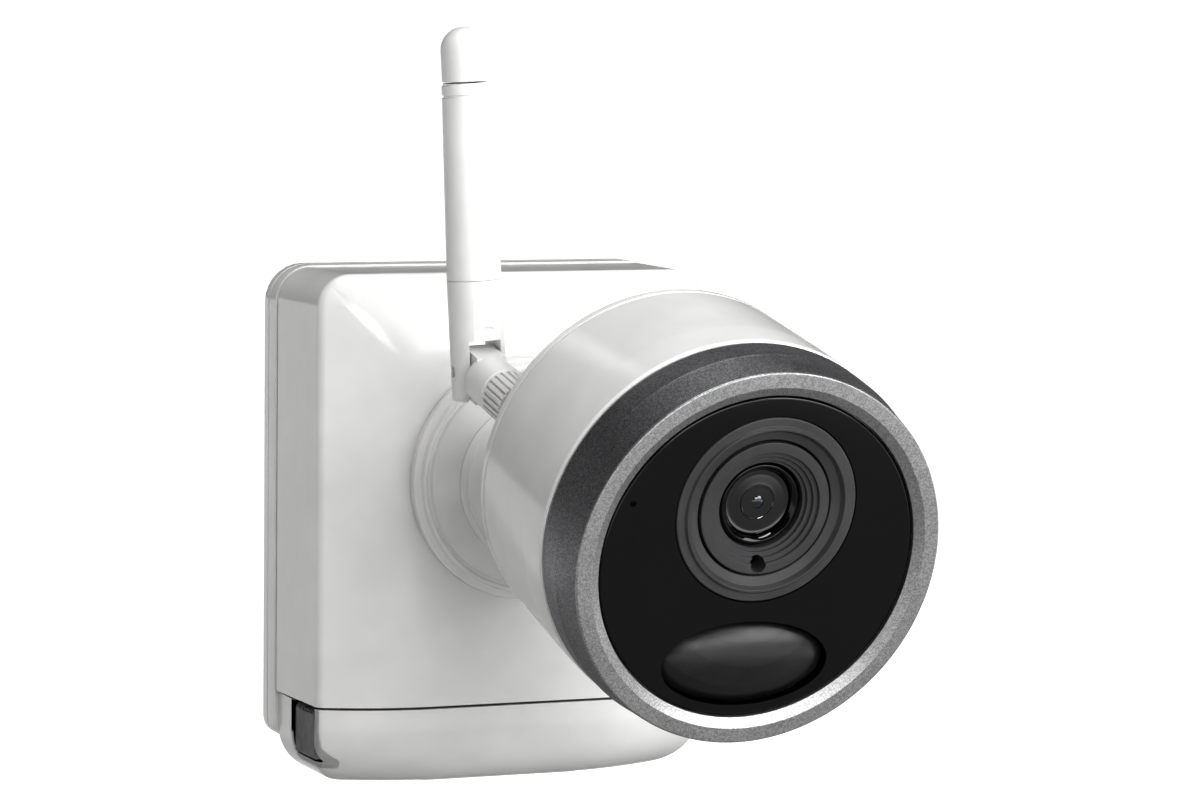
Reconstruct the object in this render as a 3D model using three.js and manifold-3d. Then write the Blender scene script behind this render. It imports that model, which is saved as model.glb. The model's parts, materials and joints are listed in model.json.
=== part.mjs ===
// Battery-powered bullet camera on a wall box: a round camera head on a ball joint, with a folding
// antenna, in front of a flat power box whose battery door hinges at its lower right edge.
// Millimetres. +X right, +Y into the wall, +Z up. The origin is the centre of the wall plate's back face.

import * as THREE from "three";
import { mergeVertices } from "three/addons/utils/BufferGeometryUtils.js";
import Module from "manifold-3d";

// ---- Driving dimensions ----

// Clearances
const SEAT_GAP = 0.1; // between two faces that rest on each other
const FIT_GAP = 0.3; // around a piece that turns or slides, and between pieces of the tilted head
const DOOR_GAP = 0.5; // dark line between the box and its battery door

// Power box
const BOX_WIDTH = 86.5;
const BOX_HEIGHT = 105;
const BOX_DEPTH = 33; // wall to the edge where the sides meet the front
const FACE_RISE = 6; // how far the flat middle of the front stands in front of that edge
const FACE_BORDER = 14; // width of the sloped border around the flat middle
const BOX_DRAFT = 0.7; // how far each side leans in from back to front
const BOX_WALL = 2.2;
const BOX_CORNER = 7;
const REAR_DEPTH = 7.8; // depth of the rear housing
const REAR_LIP = 0.35; // how far the rear housing stands out beyond the front housing
const REAR_CORNER = 8;
const REAR_FOOT_CORNER = 4; // its lower corners
const REAR_FOOT_RISE = 6; // how far its bottom stands above the lowest line of the box
const GASKET = 0.8;
const DOOR_HEIGHT = 16.3; // battery door, from the box's underside to the lowest line of the box
const DOOR_DROP = 1; // how far the door reaches below that line
const DOOR_TOE = 13; // radius of the door's lower front edge
const DOOR_CORNER = 10; // radius of the door's lower side corners

// Wall plate, in a pocket of the rear housing
const PLATE_WIDTH = 58;
const PLATE_HEIGHT = 72;
const PLATE_THICKNESS = 3;
const PLATE_HOLE = 2.2; // radius of its four wall-screw holes
const PLATE_HOLE_INSET = 9;

// Box screws, board and batteries
const SCREW_SHANK = 1.3;
const SCREW_HEAD = 2.6;
const SCREW_HEAD_DEPTH = 1.6;
const SCREW_LENGTH = 12;
const SCREW_INSET = 5.6;
const SCREW_POST = 3.6; // radius of the posts that the box screws bite into
const PACK_FRONT_GAP = 1.6; // from the edge of the front to the battery packs
const PACK_HEIGHT = 64;
const PACK_PULL = 5; // how far a battery pack hangs below the box for fingers to grip
const PACK_GAP = 1;
const TERMINAL_HALF = 4; // half width of the contact on top of a pack
const TERMINAL_HALF_DEPTH = 2.5;
const BOARD_THICKNESS = 1.6;
const BOARD_HEIGHT = 15;
const BOARD_HALF_WIDTH = 26;
const SEAL_WIDTH = 1.6;
const SEAL_HEIGHT = 1.4;

// Battery door: hinge and latch
const HINGE_KNUCKLE = 2;
const HINGE_PIN = 0.8;
const LUG_LENGTH = 3;
const LUG_INSET = 3;
const LATCH_WIDTH = 12.6;
const LATCH_HEIGHT = 10.6;
const LATCH_THICKNESS = 1.5;
const LATCH_POCKET = 3.2;
const LATCH_BARREL = 1.3;
const LATCH_PIN = 0.6;

// Ball mount
const MOUNT_HEIGHT = 10.4; // above the middle of the box
const FLANGE_RADIUS = 24.8;
const FLANGE_THICKNESS = 2.4;
const FLANGE_SCREW_INSET = 5.6;
const CONE_RADIUS = 21.7;
const CONE_LENGTH = 3.9;
const COLLAR_RADIUS = 16.6;
const BALL_RADIUS = 10.5;
const LINER_WALL = 1.8;
const BALL_REACH = 23; // box front to the centre of the ball
const MOUTH_ANGLE = 62; // degrees from the mount's axis to the collar's lip
const LINER_OPENING = 53; // degrees from the mount's axis to the liner's front edge
const STUD_RADIUS = 3.5;

// Camera head, which points forward along its own -Y from the ball
const HEAD_PITCH = 14.3; // degrees down
const HEAD_YAW = 0.9; // degrees to the right
const HEAD_OFFSET_X = 10.25; // ball to the head's axis
const HEAD_OFFSET_Z = 11.6;
const STUD_LENGTH = 19.6; // centre of the ball to the head's rear rim, along the axis
const HEAD_LENGTH = 50.6;
const HEAD_RADIUS = 38.5;
const HEAD_WALL = 2.6;
const HEAD_TAPER = 1.1; // how much narrower the head is at its rear rim
const REAR_COVER = 2.5;
const SPIGOT_LENGTH = 4; // how far the rear cover reaches into the shell
const SPIGOT_WALL = 2;
const BAND_START = 8;
const BAND_END = 14.8;
const RING_TAPER = 1.7; // how much narrower the front ring is at its front edge
const RING_FLAT = 2.5;
const RING_BEVEL = 1.9;
const RING_LEDGE = 1.5; // ledge of the front ring behind the panel
const PANEL_DEPTH = 1.3; // front ring's face to the black panel
const PANEL_THICKNESS = 2;

// Lens, sensors and boards
const LENS_SIDE_OFFSET = 0.6;
const HOOD_RADIUS = 18.4;
const HOOD_MARGIN = 4.1; // panel edge to the hood
const HOOD_RIDGE = 16.3;
const BAFFLE_RADIUS = 13.2;
const BAFFLE_STEPS = 3;
const BAFFLE_STEP = 0.95;
const BARREL_RADIUS = 8.3;
const GLASS_RADIUS = 6.4;
const BARREL_LENGTH = 13;
const FILTER_TRAVEL = 7;
const EYE_DROP = 11.3; // lens axis to the light sensor's hole
const EYE_RADIUS = 1.55;
const PIR_MARGIN_TOP = 4.4; // hood to the motion lens
const PIR_MARGIN_BOTTOM = 2.4; // motion lens to the panel's edge
const PIR_SIDE_MARGIN = 6.9;
const PIR_RISE = 1.9; // how far the motion lens bulges in front of the panel
const PIR_WALL = 1;
const LED_PLACE = 0.368; // share of the way from the hood out to the ring's ledge
const LED_RADIUS = 2.2;
const MIC_RADIUS = 0.6;
const MIC_INSET = 2.636; // from the panel's edge
const MIC_ANGLE = 23.773; // degrees above the head's left side
const MOTION_SENSOR_RADIUS = 4.5;
const MAIN_BOARD_DEPTH = 27;

// Antenna
const JACK_INSET = 5.322; // from the head's rear rim
const JACK_ANGLE = 23.129; // degrees above the head's left side
const JACK_RADIUS = 3;
const JACK_FLANGE = 3.3;
const JACK_LENGTH = 7.8;
const NUT_RADIUS = 5.1;
const NUT_LENGTH = 8;
const NUT_RIBS = 24;
const BASE_RADIUS = 5.1;
const HINGE_BEHIND_RIM = 25; // antenna hinge to the head's rear rim
const TONGUE_WIDTH = 6;
const WHIP_RADIUS = 5.45;
const WHIP_TIP_RADIUS = 4.55;
const WHIP_LENGTH = 68;
const WHIP_BELOW = 6; // how far the fork reaches below the hinge
const FORK_LENGTH = 18;
const CAP_LENGTH = 11;
const ANTENNA_LEAN = 3.6; // degrees to the left
const ANTENNA_PIN = 1.1;
const FOLD_BACK = 20; // degrees that the whip can lean further back from upright

// Facets
const FINE = 32;
const ROUND = 16;
const SMALL = 8;

// ---- Places worked out from them ----

const halfWidth = BOX_WIDTH / 2;
const top = BOX_HEIGHT / 2;
const rearFoot = REAR_FOOT_RISE - top;
const split = DOOR_HEIGHT - top; // underside of the box, above the battery door
const doorTop = split - DOOR_GAP;
const doorBottom = -top - DOOR_DROP;
const edgeY = -BOX_DEPTH;
const faceY = edgeY - FACE_RISE;
const frontStart = -REAR_DEPTH - GASKET; // back edge of the front housing
const frontHalf = halfWidth - BOX_DRAFT; // half width where the sides meet the front
const ballY = faceY - BALL_REACH;
const seatRadius = BALL_RADIUS + FIT_GAP;
const linerRadius = seatRadius + LINER_WALL;
const socketRadius = linerRadius + FIT_GAP;
const rearRimRadius = HEAD_RADIUS - HEAD_TAPER;
const ringRadius = HEAD_RADIUS - RING_TAPER;
const ringBore = ringRadius - RING_FLAT - RING_BEVEL;
const panelRadius = ringBore - FIT_GAP;
const lensZ = panelRadius - HOOD_MARGIN - HOOD_RADIUS;
const pirTop = lensZ - HOOD_RADIUS - PIR_MARGIN_TOP;
const pirBottom = PIR_MARGIN_BOTTOM - panelRadius;
const pirZ = (pirTop + pirBottom) / 2;
const pirHalfHeight = (pirTop - pirBottom) / 2;
const pirHalfWidth = Math.sqrt(panelRadius ** 2 - pirZ ** 2) - PIR_SIDE_MARGIN;
const shellBore = HEAD_RADIUS - HEAD_WALL - 0.3;
const coverFront = HEAD_LENGTH - REAR_COVER;
const hingeY = HEAD_LENGTH + HINGE_BEHIND_RIM;

// ---- Shape helpers ----

const wasm = await Module();
wasm.setup();

// A closed geometry as a solid that can be joined and cut.
function solid(geometry) {
  const bare = geometry.index ? geometry.toNonIndexed() : geometry.clone();
  bare.deleteAttribute("normal");
  bare.deleteAttribute("uv");
  const { attributes, index } = mergeVertices(bare, 1e-4);
  const vertProperties = attributes.position.array;
  return new wasm.Manifold(new wasm.Mesh({ numProp: 3, vertProperties,
    triVerts: new Uint32Array(index.array) }));
}

function geometryOf(body) {
  const { vertProperties, triVerts } = body.getMesh();
  return new THREE.BufferGeometry()
    .setAttribute("position", new THREE.BufferAttribute(vertProperties, 3))
    .setIndex(new THREE.BufferAttribute(triVerts, 1));
}

const join = (first, ...rest) => geometryOf(rest.reduce((sum, g) => sum.add(solid(g)), solid(first)));
const cut = (first, ...rest) => geometryOf(rest.reduce((sum, g) => sum.subtract(solid(g)), solid(first)));
const common = (first, ...rest) => geometryOf(rest.reduce((sum, g) => sum.intersect(solid(g)),
  solid(first)));

// A solid of revolution about Y from [radius, y] points; a profile that leaves the axis closes on itself.
function turned(profile, sides = FINE) {
  const closed = profile[0][0] > 0 ? [...profile, profile[0]] : profile;
  return new THREE.LatheGeometry(closed.map(([r, y]) => new THREE.Vector2(r, y)), sides);
}

// Points along an arc in a profile, from one angle to another in degrees.
function arc(x, y, radius, from, to, steps = 4) {
  return Array.from({ length: steps + 1 }, (_, i) => {
    const a = THREE.MathUtils.degToRad(from + ((to - from) * i) / steps);
    return [x + radius * Math.cos(a), y + radius * Math.sin(a)];
  });
}

const rod = (radius, y0, y1, sides = ROUND) => turned([[0, y0], [radius, y0], [radius, y1], [0, y1]],
  sides);
const tube = (bore, radius, y0, y1, sides = ROUND) =>
  turned([[bore, y0], [radius, y0], [radius, y1], [bore, y1]], sides);

const ballForm = (radius) => new THREE.SphereGeometry(radius, 24, 14).rotateX(Math.PI / 2);

function block(x0, x1, y0, y1, z0, z1) {
  return new THREE.BoxGeometry(x1 - x0, y1 - y0, z1 - z0).translate((x0 + x1) / 2, (y0 + y1) / 2,
    (z0 + z1) / 2);
}

// An outline from [x, y, radius] corners, each rounded with an arc.
function outline(corners) {
  const shape = new THREE.Shape();
  corners.forEach(([x, y, radius = 0], i) => {
    const here = new THREE.Vector2(x, y);
    if (!radius) {
      shape[i ? "lineTo" : "moveTo"](x, y);
      return;
    }
    const before = corners.at(i - 1);
    const after = corners[(i + 1) % corners.length];
    const back = new THREE.Vector2(before[0], before[1]).sub(here).normalize();
    const ahead = new THREE.Vector2(after[0], after[1]).sub(here).normalize();
    const half = Math.acos(THREE.MathUtils.clamp(back.dot(ahead), -1, 1)) / 2;
    const start = back.clone().multiplyScalar(radius / Math.tan(half)).add(here);
    const end = ahead.clone().multiplyScalar(radius / Math.tan(half)).add(here);
    const centre = back.clone().add(ahead).normalize().multiplyScalar(radius / Math.sin(half)).add(here);
    const a0 = Math.atan2(start.y - centre.y, start.x - centre.x);
    const a1 = Math.atan2(end.y - centre.y, end.x - centre.x);
    shape[i ? "lineTo" : "moveTo"](start.x, start.y);
    shape.absarc(centre.x, centre.y, radius, a0, a1, back.cross(ahead) > 0);
  });
  shape.closePath();
  return shape;
}

const rectangle = (x0, x1, y0, y1, r) => outline([[x0, y0, r], [x1, y0, r], [x1, y1, r], [x0, y1, r]]);

// Prisms along Z from an (x, y) outline, along Y from an (x, z) outline and along X from a (y, z) outline.
function prismZ(shape, z0, z1) {
  return new THREE.ExtrudeGeometry(shape, { depth: z1 - z0, bevelEnabled: false,
    curveSegments: 3 }).translate(0, 0, z0);
}
const prismY = (shape, y0, y1) => prismZ(shape, 0, y1 - y0).rotateX(Math.PI / 2).translate(0, y1, 0);
const prismX = (shape, x0, x1) => prismZ(shape, 0,
  x1 - x0).rotateX(Math.PI / 2).rotateZ(Math.PI / 2).translate(x0, 0, 0);

const material = (color, roughness, metalness = 0) => new THREE.MeshStandardMaterial({ color, roughness,
  metalness });
const whitePlastic = material(0xe9e9e8, 0.25);
const greyPlastic = material(0x4a4a4b, 0.55);
const blackPlastic = material(0x0b0b0c, 0.12);
const matteBlack = material(0x2b2b2c, 0.8);
const satinMetal = material(0x9c9c9c, 0.4, 0.8);
const darkMetal = material(0x3c3c3d, 0.45, 0.7);
const steel = material(0xb4b4b2, 0.35, 1);
const brass = material(0xb08d4a, 0.35, 1);
const rubber = material(0x1d1d1e, 0.85);
const board = material(0x1f4a33, 0.6);
const packWrap = material(0x33363a, 0.5);
const clearGlass = material(0x1a2230, 0.05);

function piece(name, geometry, finish) {
  const mesh = new THREE.Mesh(geometry, finish);
  mesh.name = name;
  return mesh;
}

function frame(x, y, z, ...children) {
  const group = new THREE.Group();
  group.position.set(x, y, z);
  group.add(...children);
  return group;
}

// ---- Power box ----

// The pillow-shaped form of the box's front part, shrunk by an inset on every side but the back.
function boxForm(inset, back, low, high) {
  const side = halfWidth - inset;
  const front = frontHalf - inset;
  const flat = faceY + inset;
  const edge = edgeY + inset;
  const cap = high - inset;
  const plan = outline([[side, back], [front, edge, 1.5], [frontHalf - FACE_BORDER, flat, 9],
    [FACE_BORDER - frontHalf, flat, 9], [-front, edge, 1.5], [-side, back]]);
  const profile = outline([[back, low], [flat, low], [flat, high - FACE_BORDER, 9], [edge, cap, 1.5],
    [back, cap]]);
  const face = outline([[-side, low], [side, low], [side, cap, BOX_CORNER - inset],
    [-side, cap, BOX_CORNER - inset]]);
  return common(prismZ(plan, low - 1, high + 1), prismX(profile, -BOX_WIDTH, BOX_WIDTH),
    prismY(face, faceY - 1, back));
}

const packSide = halfWidth - SCREW_INSET - SCREW_POST - 2 * PACK_GAP;
const packWidth = packSide - PACK_GAP / 2;
const packFront = edgeY + PACK_FRONT_GAP;
const packBack = frontStart - BOX_WALL - SEAL_WIDTH - 2 * PACK_GAP;
const packLow = split - PACK_PULL;
const packTop = packLow + PACK_HEIGHT;
const slotSide = packSide + PACK_GAP;

// Door hinge axis, along Y
const doorSide = frontHalf;
const pinX = doorSide - HINGE_KNUCKLE;
const pinZ = doorTop - HINGE_KNUCKLE;
const lugBack = frontStart - LUG_INSET;
const lugFront = edgeY + LUG_INSET + FACE_BORDER * 0.1;

function frontHousing() {
  const hollow = boxForm(BOX_WALL, frontStart + 1, split + BOX_WALL, top);
  const slot = block(-slotSide, slotSide, packFront - PACK_GAP, packBack + PACK_GAP, split - 1,
    split + BOX_WALL + 1);
  const within = boxForm(0.5, frontStart, split, top);
  const postBack = frontStart - SCREW_LENGTH - 1;
  const screwPosts = screwPlaces.map(([x, z]) =>
    common(rod(SCREW_POST, postBack, frontStart, SMALL).translate(x, 0, z), within));
  const posts = join(cut(boxForm(0, frontStart, split, top), hollow), ...screwPosts);
  const screwBores = screwPlaces.map(([x, z]) =>
    rod(SCREW_SHANK + SEAT_GAP, frontStart - SCREW_LENGTH, 1, SMALL).translate(x, 0, z));
  const mountBores = flangeScrewPlaces.map(([x, z]) => rod(SCREW_SHANK + SEAT_GAP, faceY - 1, edgeY + 2,
    SMALL).translate(x, 0, z));
  const lugs = [lugBack, lugFront + LUG_LENGTH].map((y) => hingeLug(y - LUG_LENGTH, y));
  return cut(join(posts, ...lugs), slot, ...screwBores, ...mountBores, hingeBore());
}

// A lug under the box that carries the door's pin.
function hingeLug(y0, y1) {
  const x0 = pinX - HINGE_KNUCKLE;
  return join(block(x0, pinX + HINGE_KNUCKLE, y0, y1, pinZ, split + 1),
    rod(HINGE_KNUCKLE, y0, y1, ROUND).translate(pinX, 0, pinZ));
}

const hingeBore = () => rod(HINGE_PIN + FIT_GAP, faceY, 0, SMALL).translate(pinX, 0, pinZ);

const screwPlaces = [[-1, 1], [1, 1], [-1, -1], [1, -1]].map(([sx, sz]) => [
  sx * (halfWidth - SCREW_INSET),
  sz > 0 ? top - SCREW_INSET : split + SCREW_INSET,
]);
const flangeScrewPlaces = [90, 210, 330].map((degrees) =>
  arc(0, MOUNT_HEIGHT, FLANGE_RADIUS - FLANGE_SCREW_INSET, degrees, degrees, 1)[0]);

function rearHousing() {
  const tray = (inset, x, z) => outline([[-x, rearFoot + inset, REAR_FOOT_CORNER - inset],
    [x, rearFoot + inset, REAR_FOOT_CORNER - inset], [x, z, REAR_CORNER - inset], [-x, z, REAR_CORNER - inset]]);
  const outer = tray(0, halfWidth + REAR_LIP, top + REAR_LIP);
  const inner = tray(BOX_WALL, halfWidth - BOX_WALL, top - BOX_WALL);
  const pocketX = PLATE_WIDTH / 2 + FIT_GAP;
  const pocketZ = PLATE_HEIGHT / 2 + FIT_GAP;
  const pocket = prismY(rectangle(-pocketX, pocketX, -pocketZ, pocketZ, 4), -PLATE_THICKNESS - SEAT_GAP, 1);
  const floor = -PLATE_THICKNESS - SEAT_GAP - BOX_WALL;
  const hollow = prismY(inner, -REAR_DEPTH - 1, floor);
  const screws = screwPlaces.map(([x, z]) => join(
    rod(SCREW_SHANK + SEAT_GAP, -REAR_DEPTH - 2, 1, SMALL), rod(SCREW_HEAD + SEAT_GAP,
    -SCREW_HEAD_DEPTH - SEAT_GAP, 1, SMALL),
  ).translate(x, 0, z));
  return cut(prismY(outer, -REAR_DEPTH, 0), pocket, hollow, ...screws);
}

// Seal in the seam between the two halves of the box.
function housingGasket() {
  const r = BOX_CORNER - 1;
  const outer = rectangle(1 - halfWidth, halfWidth - 1, split + 0.5, top - 1, r);
  const inner = rectangle(2 - halfWidth, halfWidth - 2, split + 1.5, top - 2, r - 1);
  return cut(prismY(outer, frontStart + SEAT_GAP, -REAR_DEPTH - SEAT_GAP),
    prismY(inner, frontStart, -REAR_DEPTH));
}

function wallPlate() {
  const x = PLATE_WIDTH / 2;
  const z = PLATE_HEIGHT / 2;
  const holes = [[1, 1], [-1, 1], [1, -1], [-1, -1]].map(([sx, sz]) =>
    rod(PLATE_HOLE, -PLATE_THICKNESS - 1, 1, SMALL).translate(sx * (x - PLATE_HOLE_INSET), 0,
    sz * (z - PLATE_HOLE_INSET)));
  return cut(prismY(rectangle(-x, x, -z, z, 4), -PLATE_THICKNESS, 0), ...holes);
}

function screw(length, headAt) {
  return join(rod(SCREW_SHANK, headAt - length, headAt, SMALL),
    cut(rod(SCREW_HEAD, headAt, headAt + SCREW_HEAD_DEPTH, SMALL), block(-2, 2, headAt + 1, headAt + 3,
    -0.4, 0.4)));
}

function batterySeal() {
  const x = slotSide + SEAL_WIDTH + 0.5;
  const front = packFront - PACK_GAP - SEAL_WIDTH - 0.5;
  const back = packBack + PACK_GAP + SEAL_WIDTH + 0.5;
  const z = split - SEAT_GAP;
  const w = SEAL_WIDTH;
  return cut(prismZ(rectangle(-x, x, front, back, 3), z - SEAL_HEIGHT, z),
    prismZ(rectangle(w - x, x - w, front + w, back - w, 1.5), z - SEAL_HEIGHT - 1, z + 1));
}

function batteryPack(side) {
  const x = (side * (PACK_GAP + packWidth)) / 2;
  const y = (packFront + packBack) / 2;
  const body = prismZ(rectangle(x - packWidth / 2, x + packWidth / 2, packFront, packBack, 3), packLow,
    packTop);
  const terminal = block(x - TERMINAL_HALF, x + TERMINAL_HALF, y - TERMINAL_HALF_DEPTH,
    y + TERMINAL_HALF_DEPTH,
    packTop - 1, packTop + 1);
  return join(body, terminal);
}

function contactBlock() {
  const z = packTop + 1 + SEAT_GAP;
  return prismZ(rectangle(-slotSide + 4, slotSide - 4, packFront + 3, packBack - 3, 1), z, z + 2.4);
}

function powerBoard() {
  const z = packTop + 4;
  const front = packBack - 5;
  const card = block(-BOARD_HALF_WIDTH, BOARD_HALF_WIDTH, front, front + BOARD_THICKNESS, z,
    z + BOARD_HEIGHT);
  const coil = block(-14, -2, front - 3, front + 0.1, z + 3, z + 11);
  const regulator = block(6, 16, front - 2, front + 0.1, z + 4, z + 12);
  return join(card, coil, regulator);
}

// ---- Battery door ----

function doorForm(inset) {
  const side = halfWidth - inset;
  const front = frontHalf - inset;
  const right = doorSide - inset;
  const flat = faceY + inset;
  const back = frontStart + GASKET - SEAT_GAP;
  const low = doorBottom + inset;
  const plan = outline([[right, back], [right, edgeY + inset, 1.5], [frontHalf - FACE_BORDER, flat, 9],
    [FACE_BORDER - frontHalf, flat, 9], [-front, edgeY + inset, 1.5], [-side, back]]);
  const profile = outline([[back, doorTop], [flat, doorTop], [flat, low, DOOR_TOE - inset],
    [back, low, 1.5]]);
  const r = DOOR_CORNER - inset;
  const face = outline([[-side, doorTop], [-side, low, r], [right, low, r],
    [right, doorTop, inset ? 0 : HINGE_KNUCKLE]]);
  return common(prismZ(plan, low - 1, doorTop), prismX(profile, -BOX_WIDTH, BOX_WIDTH),
    prismY(face, faceY - 1, back));
}

const latchBack = edgeY + 2 + LATCH_WIDTH + FIT_GAP;
const latchFront = edgeY + 2 - FIT_GAP;
const latchX = -frontHalf + LATCH_BARREL + 0.25; // latch pin's axis
const latchZ = doorTop - LATCH_BARREL - FIT_GAP;

function batteryDoor() {
  const wall = BOX_WALL;
  const lift = common(doorForm(wall), block(-BOX_WIDTH, BOX_WIDTH, faceY, -REAR_DEPTH - SEAT_GAP - wall,
    doorBottom, doorTop));
  const hollow = join(lift, lift.clone().translate(0, 0, wall));
  const pocketLow = doorTop - LATCH_HEIGHT - 2 * FIT_GAP;
  const pocketX = -frontHalf + LATCH_POCKET;
  const lining = common(doorForm(0), block(-BOX_WIDTH, pocketX + 1.5, latchFront - 1.5, latchBack + 1.5,
    pocketLow - 1.5, doorTop));
  const pocket = block(-BOX_WIDTH, pocketX, latchFront, latchBack, pocketLow, doorTop + 1);
  const knuckle = common(join(rod(HINGE_KNUCKLE, lugFront, lugBack).translate(pinX, 0, pinZ),
    block(pinX, doorSide, lugFront, lugBack, pinZ - 3, pinZ)), doorForm(0));
  const lugRooms = [[lugFront, lugFront + LUG_LENGTH], [lugBack - LUG_LENGTH, lugBack]].map(([y0, y1]) =>
    block(pinX - HINGE_KNUCKLE - FIT_GAP, doorSide + 1, y0 - FIT_GAP, y1 + FIT_GAP,
    pinZ - HINGE_KNUCKLE - FIT_GAP, doorTop + 1));
  const latchPinBore = rod(LATCH_PIN + SEAT_GAP, latchFront - 1, latchBack + 1, SMALL).translate(latchX, 0,
    latchZ);
  return cut(join(cut(doorForm(0), hollow), lining, knuckle), pocket, ...lugRooms, hingeBore(),
    latchPinBore);
}

const hingePin = () => rod(HINGE_PIN, lugFront + 0.2, lugBack - 0.2, SMALL).translate(pinX, 0, pinZ);

function latchLever() {
  const y0 = edgeY + 2;
  const y1 = y0 + LATCH_WIDTH;
  const low = doorTop - LATCH_HEIGHT;
  const bar = rod(LATCH_BARREL, y0, y1, SMALL).translate(latchX, 0, latchZ);
  const plate = block(latchX - LATCH_BARREL, latchX - LATCH_BARREL + LATCH_THICKNESS, y0, y1, low, latchZ);
  const springRoom = block(latchX - 3, latchX + 3, (y0 + y1) / 2 - 2, (y0 + y1) / 2 + 2, latchZ - 1.7,
    latchZ + 3);
  const bore = rod(LATCH_PIN + FIT_GAP, y0 - 1, y1 + 1, SMALL).translate(latchX, 0, latchZ);
  return cut(join(bar, plate), bore, springRoom);
}

const latchPin = () => rod(LATCH_PIN, latchFront - 0.9, latchBack + 0.9, SMALL).translate(latchX, 0,
  latchZ);

function latchSpring() {
  const mid = edgeY + 2 + LATCH_WIDTH / 2;
  return tube(LATCH_PIN + 0.15, LATCH_PIN + 0.6, mid - 1.7, mid + 1.7, SMALL).translate(latchX, 0, latchZ);
}

// ---- Ball mount: profiles run forward from the box's front, as [radius, distance] ----

const forward = (profile, sides) => turned(profile.map(([r, d]) => [r, faceY - d]).reverse(),
  sides).translate(0, 0, MOUNT_HEIGHT);
const collarStart = FLANGE_THICKNESS + 1.2 + CONE_LENGTH;
const neckRadius = COLLAR_RADIUS - 2.6;

function socketFlange() {
  const neckEnd = BALL_REACH - 1;
  const profile = [[0, SEAT_GAP], [FLANGE_RADIUS, SEAT_GAP], [FLANGE_RADIUS, FLANGE_THICKNESS - 0.6],
    [FLANGE_RADIUS - 0.6, FLANGE_THICKNESS], [FLANGE_RADIUS - 1.5, FLANGE_THICKNESS],
    [FLANGE_RADIUS - 1.9, FLANGE_THICKNESS + 0.9],
    [CONE_RADIUS + 0.5, FLANGE_THICKNESS + 1.2], [CONE_RADIUS, FLANGE_THICKNESS + 1.3],
    [COLLAR_RADIUS + 0.3, collarStart - FIT_GAP], [neckRadius, collarStart - FIT_GAP],
    [neckRadius, neckEnd], [0, neckEnd]];
  const socket = ballForm(socketRadius).translate(0, ballY, MOUNT_HEIGHT);
  const bores = flangeScrewPlaces.map(([x, z]) => rod(SCREW_SHANK + SEAT_GAP,
    faceY - FLANGE_THICKNESS - 0.5, faceY, SMALL).translate(x, 0, z));
  return cut(forward(profile), socket, ...bores);
}

function lockingCollar() {
  const lip = THREE.MathUtils.degToRad(MOUTH_ANGLE);
  const lipRadius = socketRadius * Math.sin(lip);
  const lipReach = BALL_REACH + socketRadius * Math.cos(lip);
  const profile = [[neckRadius + FIT_GAP, collarStart], [COLLAR_RADIUS + 0.3, collarStart],
    [COLLAR_RADIUS, collarStart + 1.2],
    ...arc(COLLAR_RADIUS - 4, lipReach - 3.6, 4, 0, 75, 5), [lipRadius, lipReach],
    [lipRadius - 0.5, lipReach - 1],
    [neckRadius + FIT_GAP, BALL_REACH - 0.5]];
  const socket = ballForm(socketRadius).translate(0, ballY, MOUNT_HEIGHT);
  return cut(forward(profile), socket);
}

function ballSeat() {
  const from = 90 - LINER_OPENING;
  const profile = [...arc(0, 0, linerRadius, -60, from, 7), ...arc(0, 0, seatRadius, from, -60, 7)];
  return turned(profile.map(([r, d]) => [r, -d]).reverse(), 24);
}

function ball() {
  return cut(ballForm(BALL_RADIUS), rod(STUD_RADIUS + FIT_GAP, -BALL_RADIUS - 1, 5));
}

// ---- Camera head: y runs back from the front ring's face ----

const [jackX, jackZ] = arc(0, 0, rearRimRadius - JACK_INSET, 180 - JACK_ANGLE, 180, 1)[0];

const stud = () => turned([[0, 4.5], [STUD_RADIUS - 0.5, 4.5], [STUD_RADIUS, 4],
  [STUD_RADIUS, -STUD_LENGTH + 1.2],
  [0, -STUD_LENGTH + 1.2]].reverse(), ROUND);

function rearCover() {
  const r = rearRimRadius;
  const spigot = shellBore - FIT_GAP;
  const cap = turned([[0, coverFront], [spigot - SPIGOT_WALL, coverFront],
    [spigot - SPIGOT_WALL, coverFront - SPIGOT_LENGTH],
    [spigot, coverFront - SPIGOT_LENGTH], [spigot, coverFront], [r, coverFront],
    ...arc(r - 1.2, HEAD_LENGTH - 1.2, 1.2, 0, 90, 3),
    [0, HEAD_LENGTH]]);
  const boss = turned([[0, coverFront + 1], [9, coverFront + 1], [9, HEAD_LENGTH],
    ...arc(6.5, HEAD_LENGTH + 1, 1.5, 0, 90, 3),
    [0, HEAD_LENGTH + 2.5]], ROUND).translate(-HEAD_OFFSET_X, 0, -HEAD_OFFSET_Z);
  const studBore = rod(STUD_RADIUS + FIT_GAP, HEAD_LENGTH + 0.5, HEAD_LENGTH + 4).translate(-HEAD_OFFSET_X,
    0, -HEAD_OFFSET_Z);
  const jackBore = join(rod(JACK_RADIUS + FIT_GAP, coverFront - 1, HEAD_LENGTH + 2),
    rod(JACK_FLANGE + FIT_GAP, coverFront - SPIGOT_LENGTH - 1, coverFront + 0.1)).translate(jackX, 0,
    jackZ);
  const screws = coverScrewPlaces.map(([x, z]) => join(rod(SCREW_SHANK + FIT_GAP, coverFront - 1,
    HEAD_LENGTH + 1, SMALL),
    rod(SCREW_HEAD + FIT_GAP, HEAD_LENGTH - SCREW_HEAD_DEPTH, HEAD_LENGTH + 1, SMALL)).translate(x, 0, z));
  return cut(join(cap, boss), studBore, jackBore, ...screws);
}

const coverScrewPlaces = [60, -50, 215].map((degrees) => arc(0, 0, shellBore - 7, degrees, degrees, 1)[0]);

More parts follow.
